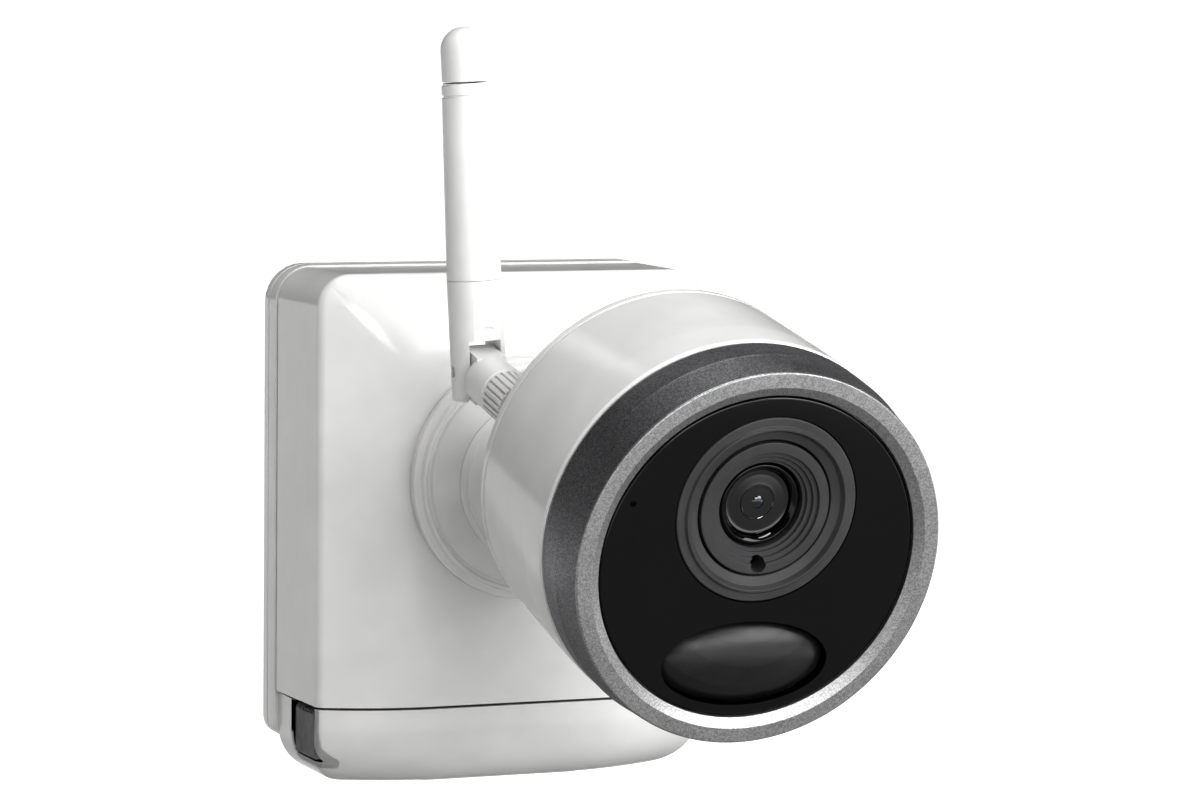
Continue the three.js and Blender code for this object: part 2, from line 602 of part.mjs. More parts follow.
function headShell() {
  const r = HEAD_RADIUS;
  return turned([[shellBore, BAND_END + FIT_GAP], [r - 0.5, BAND_END + FIT_GAP], [r, BAND_END + 0.8],
    [r - 0.1, BAND_END + 8],
    [rearRimRadius + 0.5, HEAD_LENGTH - 12], [rearRimRadius, coverFront - 1],
    [rearRimRadius - 0.3, coverFront - FIT_GAP],
    [shellBore, coverFront - FIT_GAP]]);
}

function shellSeal() {
  const front = coverFront - SPIGOT_LENGTH - FIT_GAP;
  return tube(shellBore - 1.9, shellBore - FIT_GAP, front - 1.4, front, FINE);
}

function darkBand() {
  const r = HEAD_RADIUS - 0.2;
  return turned([[shellBore - 2.4, BAND_START + FIT_GAP], [r, BAND_START + FIT_GAP], [r, BAND_END],
    [shellBore - 0.3, BAND_END],
    [shellBore - 0.3, BAND_END + 4], [shellBore - 2.4, BAND_END + 4]]);
}

function frontRing() {
  const r = ringRadius;
  const ledge = ringBore - RING_LEDGE;
  const back = PANEL_DEPTH + PANEL_THICKNESS;
  return turned([[r - RING_FLAT, 0], [r, 0], [r + 0.5, 0.6], [r + 1, 3], [HEAD_RADIUS - 0.5, 6],
    [HEAD_RADIUS - 0.3, BAND_START],
    [ledge, BAND_START], [ledge, back + FIT_GAP], [ringBore, back + FIT_GAP],
    [ringBore, PANEL_DEPTH - 0.2]]);
}

const ellipseRod = (a, b, y0, y1) => rod(1, y0, y1, 24).scale(a, 1, b);
const lensPlace = (geometry) => geometry.translate(LENS_SIDE_OFFSET, 0, lensZ);
const pirPlace = (geometry) => geometry.translate(0, 0, pirZ);
const [micX, micZ] = arc(0, 0, panelRadius - MIC_INSET, 180 - MIC_ANGLE, 180, 1)[0];

function frontPanel() {
  const back = PANEL_DEPTH + PANEL_THICKNESS;
  return cut(rod(panelRadius, PANEL_DEPTH, back, FINE), lensPlace(rod(HOOD_RADIUS + FIT_GAP, 0, back + 1,
    FINE)),
    pirPlace(ellipseRod(pirHalfWidth + FIT_GAP, pirHalfHeight + FIT_GAP, 0, back + 1)),
    rod(MIC_RADIUS, 0, back + 1, SMALL).translate(micX, 0, micZ));
}

function lensHood() {
  const bore = BAFFLE_RADIUS + FIT_GAP;
  const face = PANEL_DEPTH - 0.4;
  return lensPlace(turned([[bore, face + 1.6], [bore + 0.4, face + 1.2], [HOOD_RIDGE - 0.6, face + 0.3],
    [HOOD_RIDGE - 0.3, face - 0.3],
    [HOOD_RIDGE + 0.3, face - 0.3], [HOOD_RIDGE + 0.6, face + 0.2], [HOOD_RADIUS - 0.3, face + 0.2],
    [HOOD_RADIUS, face + 0.5],
    [HOOD_RADIUS, face + 4], [bore, face + 4]]));
}

function lensBaffle() {
  const face = PANEL_DEPTH + 0.5;
  const bore = BARREL_RADIUS + FIT_GAP;
  const treads = Array.from({ length: BAFFLE_STEPS }, (_, i) => {
    const r = bore + BAFFLE_STEP * (i + 0.6);
    const y = face + 0.7 * (BAFFLE_STEPS - i);
    return [[r, y], [r, y - 0.7]];
  }).flat();
  const back = face + 4.6;
  const plate = turned([[bore, face + 0.7 * BAFFLE_STEPS], ...treads, [BAFFLE_RADIUS, face],
    [BAFFLE_RADIUS, back], [bore, back]]);
  return lensPlace(cut(plate, rod(EYE_RADIUS, 0, back + 1, SMALL).translate(0, 0, -EYE_DROP)));
}

const barrelFront = PANEL_DEPTH + 3;
const barrelBack = barrelFront + BARREL_LENGTH;
const holderBack = barrelBack + 6;
const filterY = barrelBack + 2.4;

function lensBarrel() {
  const bore = GLASS_RADIUS + FIT_GAP;
  return lensPlace(turned([[3, barrelBack - 6], [bore, barrelBack - 6], [bore, barrelFront + 0.8],
    [bore + 0.6, barrelFront],
    [BARREL_RADIUS, barrelFront], [BARREL_RADIUS, barrelBack - 2], [BARREL_RADIUS - 1.6, barrelBack - 1.6],
    [BARREL_RADIUS - 1.6, barrelBack],
    [3, barrelBack]]));
}

function lensElement(radius, front, bulge, thickness) {
  return lensPlace(turned([[0, front], [radius * 0.5, front + bulge * 0.25],
    [radius * 0.8, front + bulge * 0.64], [radius, front + bulge],
    [radius, front + thickness], [0, front + thickness]], ROUND));
}

function lensHolder() {
  const half = BARREL_RADIUS + 2;
  const reach = FILTER_TRAVEL + 8;
  const body = block(-half, half, barrelBack + FIT_GAP, holderBack, -half, half);
  const slot = block(-7, reach, filterY - FIT_GAP, filterY + 0.6 + FIT_GAP, -4.6, 4.6);
  return lensPlace(cut(body, rod(3.4, 0, holderBack + 1), slot));
}

const irFilter = () => lensPlace(block(-4, 4, filterY, filterY + 0.6, -4, 4));
const imageSensor = () => lensPlace(block(-5, 5, holderBack + FIT_GAP, holderBack + 1.6, -4.5, 4.5));

function mainBoard() {
  const r = panelRadius - 3;
  const disc = rod(r, MAIN_BOARD_DEPTH, MAIN_BOARD_DEPTH + BOARD_THICKNESS, 32);
  const chips = [block(-18, -6, MAIN_BOARD_DEPTH + 1, MAIN_BOARD_DEPTH + 3, -14, -4),
    block(3, 12, MAIN_BOARD_DEPTH + 1, MAIN_BOARD_DEPTH + 2.8, -18, -9)];
  return join(disc, ...chips);
}

function led(side) {
  const y = PANEL_DEPTH + PANEL_THICKNESS;
  const reach = HOOD_RADIUS + LED_PLACE * (ringBore - RING_LEDGE - HOOD_RADIUS);
  const x = LENS_SIDE_OFFSET + side * reach;
  const r = LED_RADIUS;
  return turned([[0, y + 0.5], [r - 1, y + 0.7], [r - 0.2, y + 1.5], [r, y + 2.6], [r, y + 4.5],
    [0, y + 4.5]], SMALL).translate(x, 0, lensZ - 2);
}

function motionLens() {
  const depth = 3 * PIR_RISE;
  const centre = PANEL_DEPTH - PIR_RISE + depth;
  const dome = new THREE.SphereGeometry(1, 24, 14).rotateX(Math.PI / 2);
  const a = pirHalfWidth;
  const b = pirHalfHeight;
  const back = PANEL_DEPTH + PANEL_THICKNESS;
  const grow = 1 / Math.sqrt(1 - ((centre - back) / depth) ** 2);
  const outer = dome.clone().scale(a * grow, depth, b * grow).translate(0, centre, 0);
  const inner = dome.clone().scale(a * grow - PIR_WALL, depth - PIR_WALL, b * grow - PIR_WALL).translate(0,
    centre, 0);
  return pirPlace(cut(common(outer, ellipseRod(a, b, -5, back + 1)), inner,
    block(-50, 50, back + 0.6, 20, -50, 50)));
}

const motionSensor = () => pirPlace(rod(MOTION_SENSOR_RADIUS, 8, 12));
const lightSensor = () => lensPlace(rod(1.2, PANEL_DEPTH + 5.6, PANEL_DEPTH + 7.5, SMALL).translate(0, 0,
  -EYE_DROP));
const microphone = () => rod(MIC_RADIUS + 0.6, PANEL_DEPTH + PANEL_THICKNESS + FIT_GAP,
  PANEL_DEPTH + PANEL_THICKNESS + 2, SMALL).translate(micX, 0, micZ);

// ---- Antenna, around the jack's axis: y runs back from the front ring's face ----

const nutFront = HEAD_LENGTH + 1.6;
const nutBack = nutFront + NUT_LENGTH;

function jack() {
  return turned([[0, coverFront - 4], [1.6, coverFront - 4], [1.6, coverFront - 1.3],
    [JACK_FLANGE, coverFront - 1.3],
    [JACK_FLANGE, coverFront - FIT_GAP], [JACK_RADIUS, coverFront - FIT_GAP],
    [JACK_RADIUS, HEAD_LENGTH + JACK_LENGTH],
    [0, HEAD_LENGTH + JACK_LENGTH]], ROUND);
}

function knurledNut() {
  const rib = NUT_RADIUS;
  const valley = NUT_RADIUS - 0.45;
  const rim = new THREE.Shape();
  for (let i = 0; i < NUT_RIBS * 2; i++) {
    const a = (Math.PI * i) / NUT_RIBS;
    const r = i % 2 ? rib : valley;
    rim[i ? "lineTo" : "moveTo"](r * Math.cos(a), r * Math.sin(a));
  }
  rim.closePath();
  return cut(prismY(rim, nutFront, nutBack), rod(JACK_RADIUS + FIT_GAP, nutFront - 1, nutBack - 1.2),
    rod(2.2, nutBack - 2, nutBack + 1));
}

function antennaBase() {
  const shoulder = hingeY - WHIP_RADIUS - FIT_GAP;
  const barrel = turned([[0, nutBack + FIT_GAP], [BASE_RADIUS - 0.4, nutBack + FIT_GAP],
    [BASE_RADIUS, nutBack + 0.7],
    [BASE_RADIUS, shoulder], [0, shoulder]], ROUND);
  const tongue = common(join(rod(BASE_RADIUS - 0.2, -TONGUE_WIDTH / 2,
    TONGUE_WIDTH / 2).rotateZ(Math.PI / 2).translate(0, hingeY, 0),
    block(-TONGUE_WIDTH / 2, TONGUE_WIDTH / 2, shoulder - 1, hingeY, 0.2 - BASE_RADIUS, BASE_RADIUS - 0.2)),
  block(-TONGUE_WIDTH / 2, TONGUE_WIDTH / 2, shoulder - 1, hingeY + 9, -9, 9));
  const stem = rod(1.9, nutBack - 1, nutBack + 1, SMALL);
  return cut(join(barrel, tongue, stem), rod(ANTENNA_PIN + FIT_GAP, -9, 9,
    SMALL).rotateZ(Math.PI / 2).translate(0, hingeY, 0));
}

// The whip stands on its hinge: z runs up from the hinge's axis.
const upright = (profile, sides = ROUND) => turned(profile, sides).rotateX(Math.PI / 2);
const whipRadiusAt = (z) => WHIP_RADIUS + ((WHIP_TIP_RADIUS - WHIP_RADIUS) * z) / WHIP_LENGTH;

function whipFork() {
  const low = -WHIP_BELOW;
  const body = upright([[0, low], [WHIP_RADIUS - 0.6, low], [WHIP_RADIUS, low + 0.6],
    [WHIP_RADIUS, FORK_LENGTH], [3.2, FORK_LENGTH],
    [3.2, FORK_LENGTH - 6], [0, FORK_LENGTH - 6]]);
  const slotHalf = TONGUE_WIDTH / 2 + FIT_GAP;
  const slot = block(-slotHalf, slotHalf, -9, 9, low - 1, BASE_RADIUS + 1);
  const barrelRooms = [0, 0.5, 1].map((share) =>
    rod(BASE_RADIUS + FIT_GAP, -12, -WHIP_RADIUS).rotateX(share * THREE.MathUtils.degToRad(HEAD_PITCH + FOLD_BACK)));
  return cut(body, slot, ...barrelRooms, rod(ANTENNA_PIN + SEAT_GAP, -9, 9, SMALL).rotateZ(Math.PI / 2));
}

function whipSleeve() {
  const end = WHIP_LENGTH - CAP_LENGTH;
  const r = whipRadiusAt(end);
  return upright([[2.6, FORK_LENGTH + FIT_GAP], [WHIP_RADIUS, FORK_LENGTH + FIT_GAP], [r, end - 3],
    [r - 0.35, end - 2.9], [r - 0.35, end - 2.4],
    [r, end - 2.3], [r, end - 0.5], [r - 0.35, end - 0.4], [r - 0.35, end], [2.6, end]]);
}

function whipCap() {
  const end = WHIP_LENGTH - CAP_LENGTH + FIT_GAP;
  const r = WHIP_TIP_RADIUS;
  return upright([[0, end], [r - 0.3, end], [r, end + 0.3], ...arc(0, WHIP_LENGTH - r, r, 0, 90, 6)]);
}

const whipPin = () => rod(ANTENNA_PIN, 0.6 - WHIP_RADIUS, WHIP_RADIUS - 0.6, SMALL).rotateZ(Math.PI / 2);
const radiator = () => upright([[0, FORK_LENGTH - 5], [1.4, FORK_LENGTH - 5],
  [1.4, WHIP_LENGTH - CAP_LENGTH - 2], [0, WHIP_LENGTH - CAP_LENGTH - 2]], SMALL);

// Coaxial lead from the jack to the main board, inside the head.
function antennaLead() {
  const start = new THREE.Vector3(jackX, coverFront - 4 - FIT_GAP, jackZ);
  const end = new THREE.Vector3(jackX + 9, MAIN_BOARD_DEPTH + BOARD_THICKNESS + FIT_GAP, jackZ - 4);
  const route = new THREE.CubicBezierCurve3(start, start.clone().add(new THREE.Vector3(0, -6, 0)),
    end.clone().add(new THREE.Vector3(0, 6, 0)), end);
  const section = new THREE.Shape().absarc(0, 0, 0.7, 0, 2 * Math.PI);
  return new THREE.ExtrudeGeometry(section, { steps: 10, curveSegments: 4, extrudePath: route });
}

// ---- Assembly ----

const box = frame(0, 0, 0,
  piece("wall_plate", wallPlate(), steel),
  piece("rear_housing", rearHousing(), whitePlastic),
  piece("housing_gasket", housingGasket(), rubber),
  piece("front_housing", frontHousing(), whitePlastic),
  ...screwPlaces.map(([x, z], i) =>
    piece(`case_screw_${i + 1}`, screw(SCREW_LENGTH, -SCREW_HEAD_DEPTH).translate(x, 0, z), steel)),
  piece("battery_pack_left", batteryPack(-1), packWrap),
  piece("battery_pack_right", batteryPack(1), packWrap),
  piece("battery_contacts", contactBlock(), brass),
  piece("power_board", powerBoard(), board),
  piece("battery_seal", batterySeal(), rubber),
  piece("door_hinge_pin", hingePin(), steel),
  piece("socket_flange", socketFlange(), whitePlastic),
  ...flangeScrewPlaces.map(([x, z], i) =>
    piece(`flange_screw_${i + 1}`, screw(5.2, faceY + BOX_WALL + SEAT_GAP).translate(x, 0, z), steel)),
  piece("locking_collar", lockingCollar(), whitePlastic),
  piece("battery_door", batteryDoor(), whitePlastic),
  piece("latch_lever", latchLever(), greyPlastic),
  piece("latch_pin", latchPin(), steel),
  piece("latch_spring", latchSpring(), steel));

const whip = frame(0, hingeY, 0,
  piece("whip_fork", whipFork(), whitePlastic),
  piece("whip_sleeve", whipSleeve(), whitePlastic),
  piece("whip_cap", whipCap(), whitePlastic),
  piece("whip_pin", whipPin(), steel),
  piece("radiator", radiator(), brass));
whip.rotation.x = -THREE.MathUtils.degToRad(HEAD_PITCH);

const swivel = frame(jackX, 0, jackZ, piece("antenna_base", antennaBase(), whitePlastic), whip);
swivel.rotation.y = -THREE.MathUtils.degToRad(ANTENNA_LEAN);

const camera = frame(HEAD_OFFSET_X, -STUD_LENGTH - HEAD_LENGTH, HEAD_OFFSET_Z,
  piece("rear_cover", rearCover(), whitePlastic),
  ...coverScrewPlaces.map(([x, z], i) => piece(`cover_screw_${i + 1}`,
  screw(6.5, HEAD_LENGTH - SCREW_HEAD_DEPTH + FIT_GAP / 2).translate(x, 0, z), steel)),
  piece("shell_seal", shellSeal(), rubber),
  piece("head_shell", headShell(), whitePlastic),
  piece("dark_band", darkBand(), darkMetal),
  piece("front_ring", frontRing(), satinMetal),
  piece("front_panel", frontPanel(), blackPlastic),
  piece("lens_hood", lensHood(), blackPlastic),
  piece("lens_baffle", lensBaffle(), matteBlack),
  piece("lens_barrel", lensBarrel(), matteBlack),
  piece("front_lens", lensElement(GLASS_RADIUS, barrelFront + 0.8, 0.9, 3), clearGlass),
  piece("lens_holder", lensHolder(), matteBlack),
  piece("ir_filter", irFilter(), clearGlass),
  piece("image_sensor", imageSensor(), clearGlass),
  piece("main_board", mainBoard(), board),
  piece("ir_led_left", led(-1), clearGlass),
  piece("ir_led_right", led(1), clearGlass),
  piece("motion_lens", motionLens(), greyPlastic),
  piece("motion_sensor", motionSensor(), steel),
  piece("light_sensor", lightSensor(), greyPlastic),
  piece("microphone", microphone(), steel),
  piece("antenna_jack", jack().translate(jackX, 0, jackZ), brass),
  piece("antenna_lead", antennaLead(), rubber),
  piece("knurled_nut", knurledNut().translate(jackX, 0, jackZ), whitePlastic),
  swivel);

const head = frame(0, ballY, MOUNT_HEIGHT,
  piece("ball", ball(), greyPlastic),
  piece("ball_stud", stud(), steel),
  camera);
head.rotation.set(THREE.MathUtils.degToRad(HEAD_PITCH), 0, THREE.MathUtils.degToRad(HEAD_YAW), "ZXY");

const securityCamera = new THREE.Group();
securityCamera.add(box, frame(0, ballY, MOUNT_HEIGHT, piece("ball_seat", ballSeat(), matteBlack)), head);

export default securityCamera;
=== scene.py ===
"""Battery-powered security camera: the finished surfaces, materials, light and camera around its CAD frame.

Shapes are made in millimetres in a local frame, whose Y axis runs back along the part, and are then
placed in the frame's metres.
"""

import json
import math

import bmesh
import bpy
from mathutils import Matrix, Vector


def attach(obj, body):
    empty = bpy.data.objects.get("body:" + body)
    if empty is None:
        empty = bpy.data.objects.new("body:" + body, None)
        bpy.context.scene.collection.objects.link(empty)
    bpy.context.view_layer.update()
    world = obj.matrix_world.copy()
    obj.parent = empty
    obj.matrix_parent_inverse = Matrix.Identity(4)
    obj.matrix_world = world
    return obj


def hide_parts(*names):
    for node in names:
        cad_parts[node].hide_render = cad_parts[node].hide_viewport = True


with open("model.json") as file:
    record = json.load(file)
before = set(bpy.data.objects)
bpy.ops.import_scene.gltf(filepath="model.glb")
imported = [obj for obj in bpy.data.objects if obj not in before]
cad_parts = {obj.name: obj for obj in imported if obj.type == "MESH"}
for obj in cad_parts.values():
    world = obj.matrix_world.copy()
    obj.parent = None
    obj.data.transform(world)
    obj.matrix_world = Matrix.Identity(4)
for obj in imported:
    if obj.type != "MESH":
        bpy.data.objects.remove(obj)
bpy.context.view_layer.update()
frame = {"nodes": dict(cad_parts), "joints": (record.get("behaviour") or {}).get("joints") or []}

MM = 0.001
TO_METRES = Matrix.Scale(MM, 4)
QUARTER = math.pi / 2


# ---- Camera and light, in metres ----

VIEW_AZIMUTH = -22.24  # degrees to the left of straight on
VIEW_ELEVATION = 5.23
VIEW_ROLL = 0.63
VIEW_DISTANCE = 0.978
VIEW_AIM = (0.0312, -0.0037, 0.0226)
LENS_LENGTH = 136.3  # millimetres, on a 36 mm sensor

SKY_POWER = 0.05
SUN_POWER = 1.6
SUN_SPREAD = math.radians(40)  # a wide sun, so that its shadows are soft
DISPLAY_GAMMA = 0.8

# Each softbox's name, place, the point it faces, width, height and watts.
SOFTBOXES = [
    ("key", (0.85, -1.1, 0.55), (0, -0.06, 0.01), 0.8, 0.8, 14),
    ("front_fill", (0.1, -1.45, 0.35), (0, -0.05, 0.0), 0.9, 0.5, 9),
    ("rim_strip", (0.05, -0.75, 0.95), (0, -0.12, 0.0), 0.6, 0.1, 3),
]

FLOOR_DROP = 0.17  # floor below the middle of the box, clear of the open battery door
FLOOR_SIZE = 300
SHADE_POOL_CENTRE_Y = -0.15  # centre of the painted shade on the floor, under the camera's head
SHADE_AND_GLOW_NEAR = 0.3  # the painted shade on the floor fades, and its glow starts, from this distance
SHADE_AND_GLOW_FAR = 0.7
FLOOR_GLOW = 0.56


def make_camera():
    azimuth = math.radians(VIEW_AZIMUTH)
    elevation = math.radians(VIEW_ELEVATION)
    back = Vector((math.sin(azimuth) * math.cos(elevation), -math.cos(azimuth) * math.cos(elevation),
                   math.sin(elevation)))
    camera = bpy.data.objects.new("view_camera", bpy.data.cameras.new("view_camera"))
    camera.data.lens = LENS_LENGTH
    camera.data.clip_end = FLOOR_SIZE
    roll = Matrix.Rotation(math.radians(VIEW_ROLL), 4, "Z")
    turn = back.to_track_quat("Z", "Y").to_matrix().to_4x4() @ roll
    camera.matrix_world = Matrix.Translation(Vector(VIEW_AIM) + back * VIEW_DISTANCE) @ turn
    bpy.context.scene.collection.objects.link(camera)
    bpy.context.scene.camera = camera


def make_softbox(name, place, aim, width, height, power):
    """A rectangular studio light at a place, facing a point."""
    light = bpy.data.lights.new(name, "AREA")
    light.shape = "RECTANGLE"
    light.size = width
    light.size_y = height
    light.energy = power
    lamp = bpy.data.objects.new(name, light)
    towards = Vector(aim) - Vector(place)
    lamp.matrix_world = Matrix.Translation(place) @ towards.to_track_quat("-Z", "Y").to_matrix().to_4x4()
    bpy.context.scene.collection.objects.link(lamp)


def make_light():
    scene = bpy.context.scene
    scene.world = scene.world or bpy.data.worlds.new("studio")
    scene.world.use_nodes = True
    sky = scene.world.node_tree.nodes["Background"]
    sky.inputs["Color"].default_value = (1, 1, 1, 1)
    sky.inputs["Strength"].default_value = SKY_POWER
    overhead = bpy.data.lights.new("overhead", "SUN")
    overhead.energy = SUN_POWER
    overhead.angle = SUN_SPREAD
    scene.collection.objects.link(bpy.data.objects.new("overhead", overhead))
    for softbox in SOFTBOXES:
        make_softbox(*softbox)
    scene.view_settings.view_transform = "Standard"
    scene.view_settings.gamma = DISPLAY_GAMMA


# ---- Materials ----

NOISE_SPAN = {"From Min": 0.3, "From Max": 0.7}  # most of a noise texture's values lie between these
SHRINK_WAVE = 16  # millimetres between the waves of a moulding's surface
SHRINK_DEPTH = 0.02
FLAKE = 0.22
TOOL_LINE = 0.25
RIB_PITCH = 0.7
RINGS_PER_UNIT = 20  # rings that a wave texture draws in one unit at scale 1


def linear(hex_colour):
    """An sRGB colour such as "#e8e8e6" as linear red, green, blue and alpha."""
    parts = [int(hex_colour[i:i + 2], 16) / 255 for i in (1, 3, 5)]
    return tuple(c / 12.92 if c <= 0.04045 else ((c + 0.055) / 1.055) ** 2.4 for c in parts) + (1.0,)


def per(millimetres):
    """The texture scale that repeats once in that length."""
    return 1 / (millimetres * MM)


def join(tree, node, inputs):
    """Sets a node's inputs: each is a value, or another node's output to link."""
    for name, value in inputs.items():
        if isinstance(value, bpy.types.NodeSocket):
            tree.links.new(value, node.inputs[name])
        else:
            node.inputs[name].default_value = value


def add(tree, kind, inputs, **settings):
    """Adds a node with its settings and inputs."""
    made = tree.nodes.new(kind)
    for name, value in settings.items():
        setattr(made, name, value)
    join(tree, made, inputs)
    return made


def new_material(name):
    """A material with its node tree, its Principled shader, and the object's own coordinates."""
    made = bpy.data.materials.new(name)
    made.use_nodes = True
    tree = made.node_tree
    place = add(tree, "ShaderNodeTexCoord", {}).outputs["Object"]
    return made, tree, tree.nodes["Principled BSDF"], place


def moulded_plastic(name, dark, light, roughness, grain, grain_depth, ior=1.46):
    """Injection-moulded plastic: a surface grain from the mould, a broad waviness where it shrank as it
    cooled, and a colour and gloss that drift slightly. Lengths are in millimetres."""
    made, tree, shader, place = new_material(name)
    drift = add(tree, "ShaderNodeTexNoise", {"Vector": place, "Scale": per(SHRINK_WAVE), "Detail": 3.0})
    cloud = add(tree, "ShaderNodeTexNoise", {"Vector": place, "Scale": per(grain * 6), "Detail": 4.0})
    skin = add(tree, "ShaderNodeTexNoise", {"Vector": place, "Scale": per(grain), "Detail": 2.0})
    shrink = add(tree, "ShaderNodeBump", {"Height": drift.outputs["Fac"], "Distance": SHRINK_DEPTH * MM,
                                          "Strength": 1.0})
    bump = add(tree, "ShaderNodeBump", {"Height": skin.outputs["Fac"], "Distance": grain_depth * MM,
                                        "Strength": 1.0, "Normal": shrink.outputs["Normal"]})
    share = add(tree, "ShaderNodeMapRange", {**NOISE_SPAN, "Value": drift.outputs["Fac"]})
    colour = add(tree, "ShaderNodeMix", {"Factor": share.outputs["Result"], "A": linear(dark),
                                         "B": linear(light)}, data_type="RGBA")
    gloss = add(tree, "ShaderNodeMapRange", {**NOISE_SPAN, "Value": cloud.outputs["Fac"],
                                             "To Min": roughness * 0.85, "To Max": roughness * 1.2})
    join(tree, shader, {"Base Color": colour.outputs["Result"], "Roughness": gloss.outputs["Result"],
                        "Normal": bump.outputs["Normal"], "IOR": ior})
    return made


def flake_paint(name, dark, light, roughness):
    """Metallic paint on a moulded ring: small aluminium flakes that each catch the light their own way.
    The flakes are drawn a few times coarser than real ones, so that they show."""
    made, tree, shader, place = new_material(name)
    flakes = add(tree, "ShaderNodeTexVoronoi", {"Vector": place, "Scale": per(FLAKE)})
    spark = add(tree, "ShaderNodeSeparateColor", {"Color": flakes.outputs["Color"]})
    mist = add(tree, "ShaderNodeTexNoise", {"Vector": place, "Scale": per(9), "Detail": 3.0})
    share = add(tree, "ShaderNodeMapRange", {"Value": spark.outputs["Red"], "From Min": 0.05,
                                             "From Max": 0.95})
    colour = add(tree, "ShaderNodeMix", {"Factor": share.outputs["Result"], "A": linear(dark),
                                         "B": linear(light)}, data_type="RGBA")
    gloss = add(tree, "ShaderNodeMapRange", {**NOISE_SPAN, "Value": mist.outputs["Fac"],
                                             "To Min": roughness * 0.9, "To Max": roughness * 1.15})
    tilt = add(tree, "ShaderNodeBump", {"Height": spark.outputs["Green"], "Distance": 0.004 * MM,
                                        "Strength": 0.6})
    join(tree, shader, {"Base Color": colour.outputs["Result"], "Roughness": gloss.outputs["Result"],
                        "Normal": tilt.outputs["Normal"], "Metallic": 0.8})
    return made


def plated_metal(name, dark, light, roughness):
    """Plated, turned metal: fine tool lines round it, and a finish that is duller in patches."""
    made, tree, shader, place = new_material(name)
    lines = add(tree, "ShaderNodeTexNoise", {"Vector": place, "Scale": per(TOOL_LINE), "Detail": 4.0,
                                             "Distortion": 1.5})
    patch = add(tree, "ShaderNodeTexNoise", {"Vector": place, "Scale": per(5), "Detail": 3.0})
    share = add(tree, "ShaderNodeMapRange", {**NOISE_SPAN, "Value": patch.outputs["Fac"]})
    colour = add(tree, "ShaderNodeMix", {"Factor": share.outputs["Result"], "A": linear(dark),
                                         "B": linear(light)}, data_type="RGBA")
    gloss = add(tree, "ShaderNodeMapRange", {**NOISE_SPAN, "Value": lines.outputs["Fac"],
                                             "To Min": roughness * 0.8, "To Max": roughness * 1.3})
    bump = add(tree, "ShaderNodeBump", {"Height": lines.outputs["Fac"], "Distance": 0.01 * MM,
                                        "Strength": 0.5})
    join(tree, shader, {"Base Color": colour.outputs["Result"], "Roughness": gloss.outputs["Result"],
                        "Normal": bump.outputs["Normal"], "Metallic": 1.0})
    return made


def ribbed_lens(name, centre):
    """Polyethylene motion lens: dark and waxy, with fine Fresnel rings round a point on its surface."""
    made, tree, shader, place = new_material(name)
    local = add(tree, "ShaderNodeMapping", {"Vector": place, "Location": [-c for c in centre]})
    rings = add(tree, "ShaderNodeTexWave",
                {"Vector": local.outputs["Vector"], "Scale": per(RIB_PITCH) / RINGS_PER_UNIT,
                 "Distortion": 0.4, "Detail": 1.0, "Detail Scale": 30.0},
                wave_type="RINGS", rings_direction="SPHERICAL", wave_profile="SAW")
    haze = add(tree, "ShaderNodeTexNoise", {"Vector": place, "Scale": per(3), "Detail": 4.0})
    share = add(tree, "ShaderNodeMath", {0: rings.outputs["Fac"], 1: haze.outputs["Fac"]},
                operation="MULTIPLY")
    colour = add(tree, "ShaderNodeMix", {"Factor": share.outputs["Value"], "A": linear("#161617"),
                                         "B": linear("#262628")}, data_type="RGBA")
    gloss = add(tree, "ShaderNodeMapRange", {**NOISE_SPAN, "Value": haze.outputs["Fac"],
                                             "To Min": 0.3, "To Max": 0.42})
    bump = add(tree, "ShaderNodeBump", {"Height": rings.outputs["Fac"], "Distance": 0.02 * MM,
                                        "Strength": 0.7})
    join(tree, shader, {"Base Color": colour.outputs["Result"], "Roughness": gloss.outputs["Result"],
                        "Normal": bump.outputs["Normal"], "IOR": 1.54})
    return made


def coated_glass(name, rim, middle):
    """Coated lens glass: nearly black, with a faint tint that changes towards the rim."""
    made, tree, shader, place = new_material(name)
    slant = add(tree, "ShaderNodeLayerWeight", {"Blend": 0.35})
    cloud = add(tree, "ShaderNodeTexNoise", {"Vector": place, "Scale": per(2), "Detail": 2.0})
    colour = add(tree, "ShaderNodeMix", {"Factor": slant.outputs["Facing"], "A": linear(middle),
                                         "B": linear(rim)}, data_type="RGBA")
    gloss = add(tree, "ShaderNodeMapRange", {**NOISE_SPAN, "Value": cloud.outputs["Fac"],
                                             "To Min": 0.02, "To Max": 0.05})
    join(tree, shader, {"Base Color": colour.outputs["Result"], "Roughness": gloss.outputs["Result"],
                        "IOR": 1.6, "Coat Weight": 1.0, "Coat Roughness": 0.01})
    return made


def circuit_board(name):
    """Fibreglass board under green solder mask, with the copper tracks just showing through."""
    made, tree, shader, place = new_material(name)
    tracks = add(tree, "ShaderNodeTexBrick", {"Vector": place, "Scale": per(6), "Mortar Size": 0.02,
                                              "Color1": linear("#14452c"), "Color2": linear("#103a25"),
                                              "Mortar": linear("#2c6a45")})
    join(tree, shader, {"Base Color": tracks.outputs["Color"], "Roughness": 0.35})
    return made


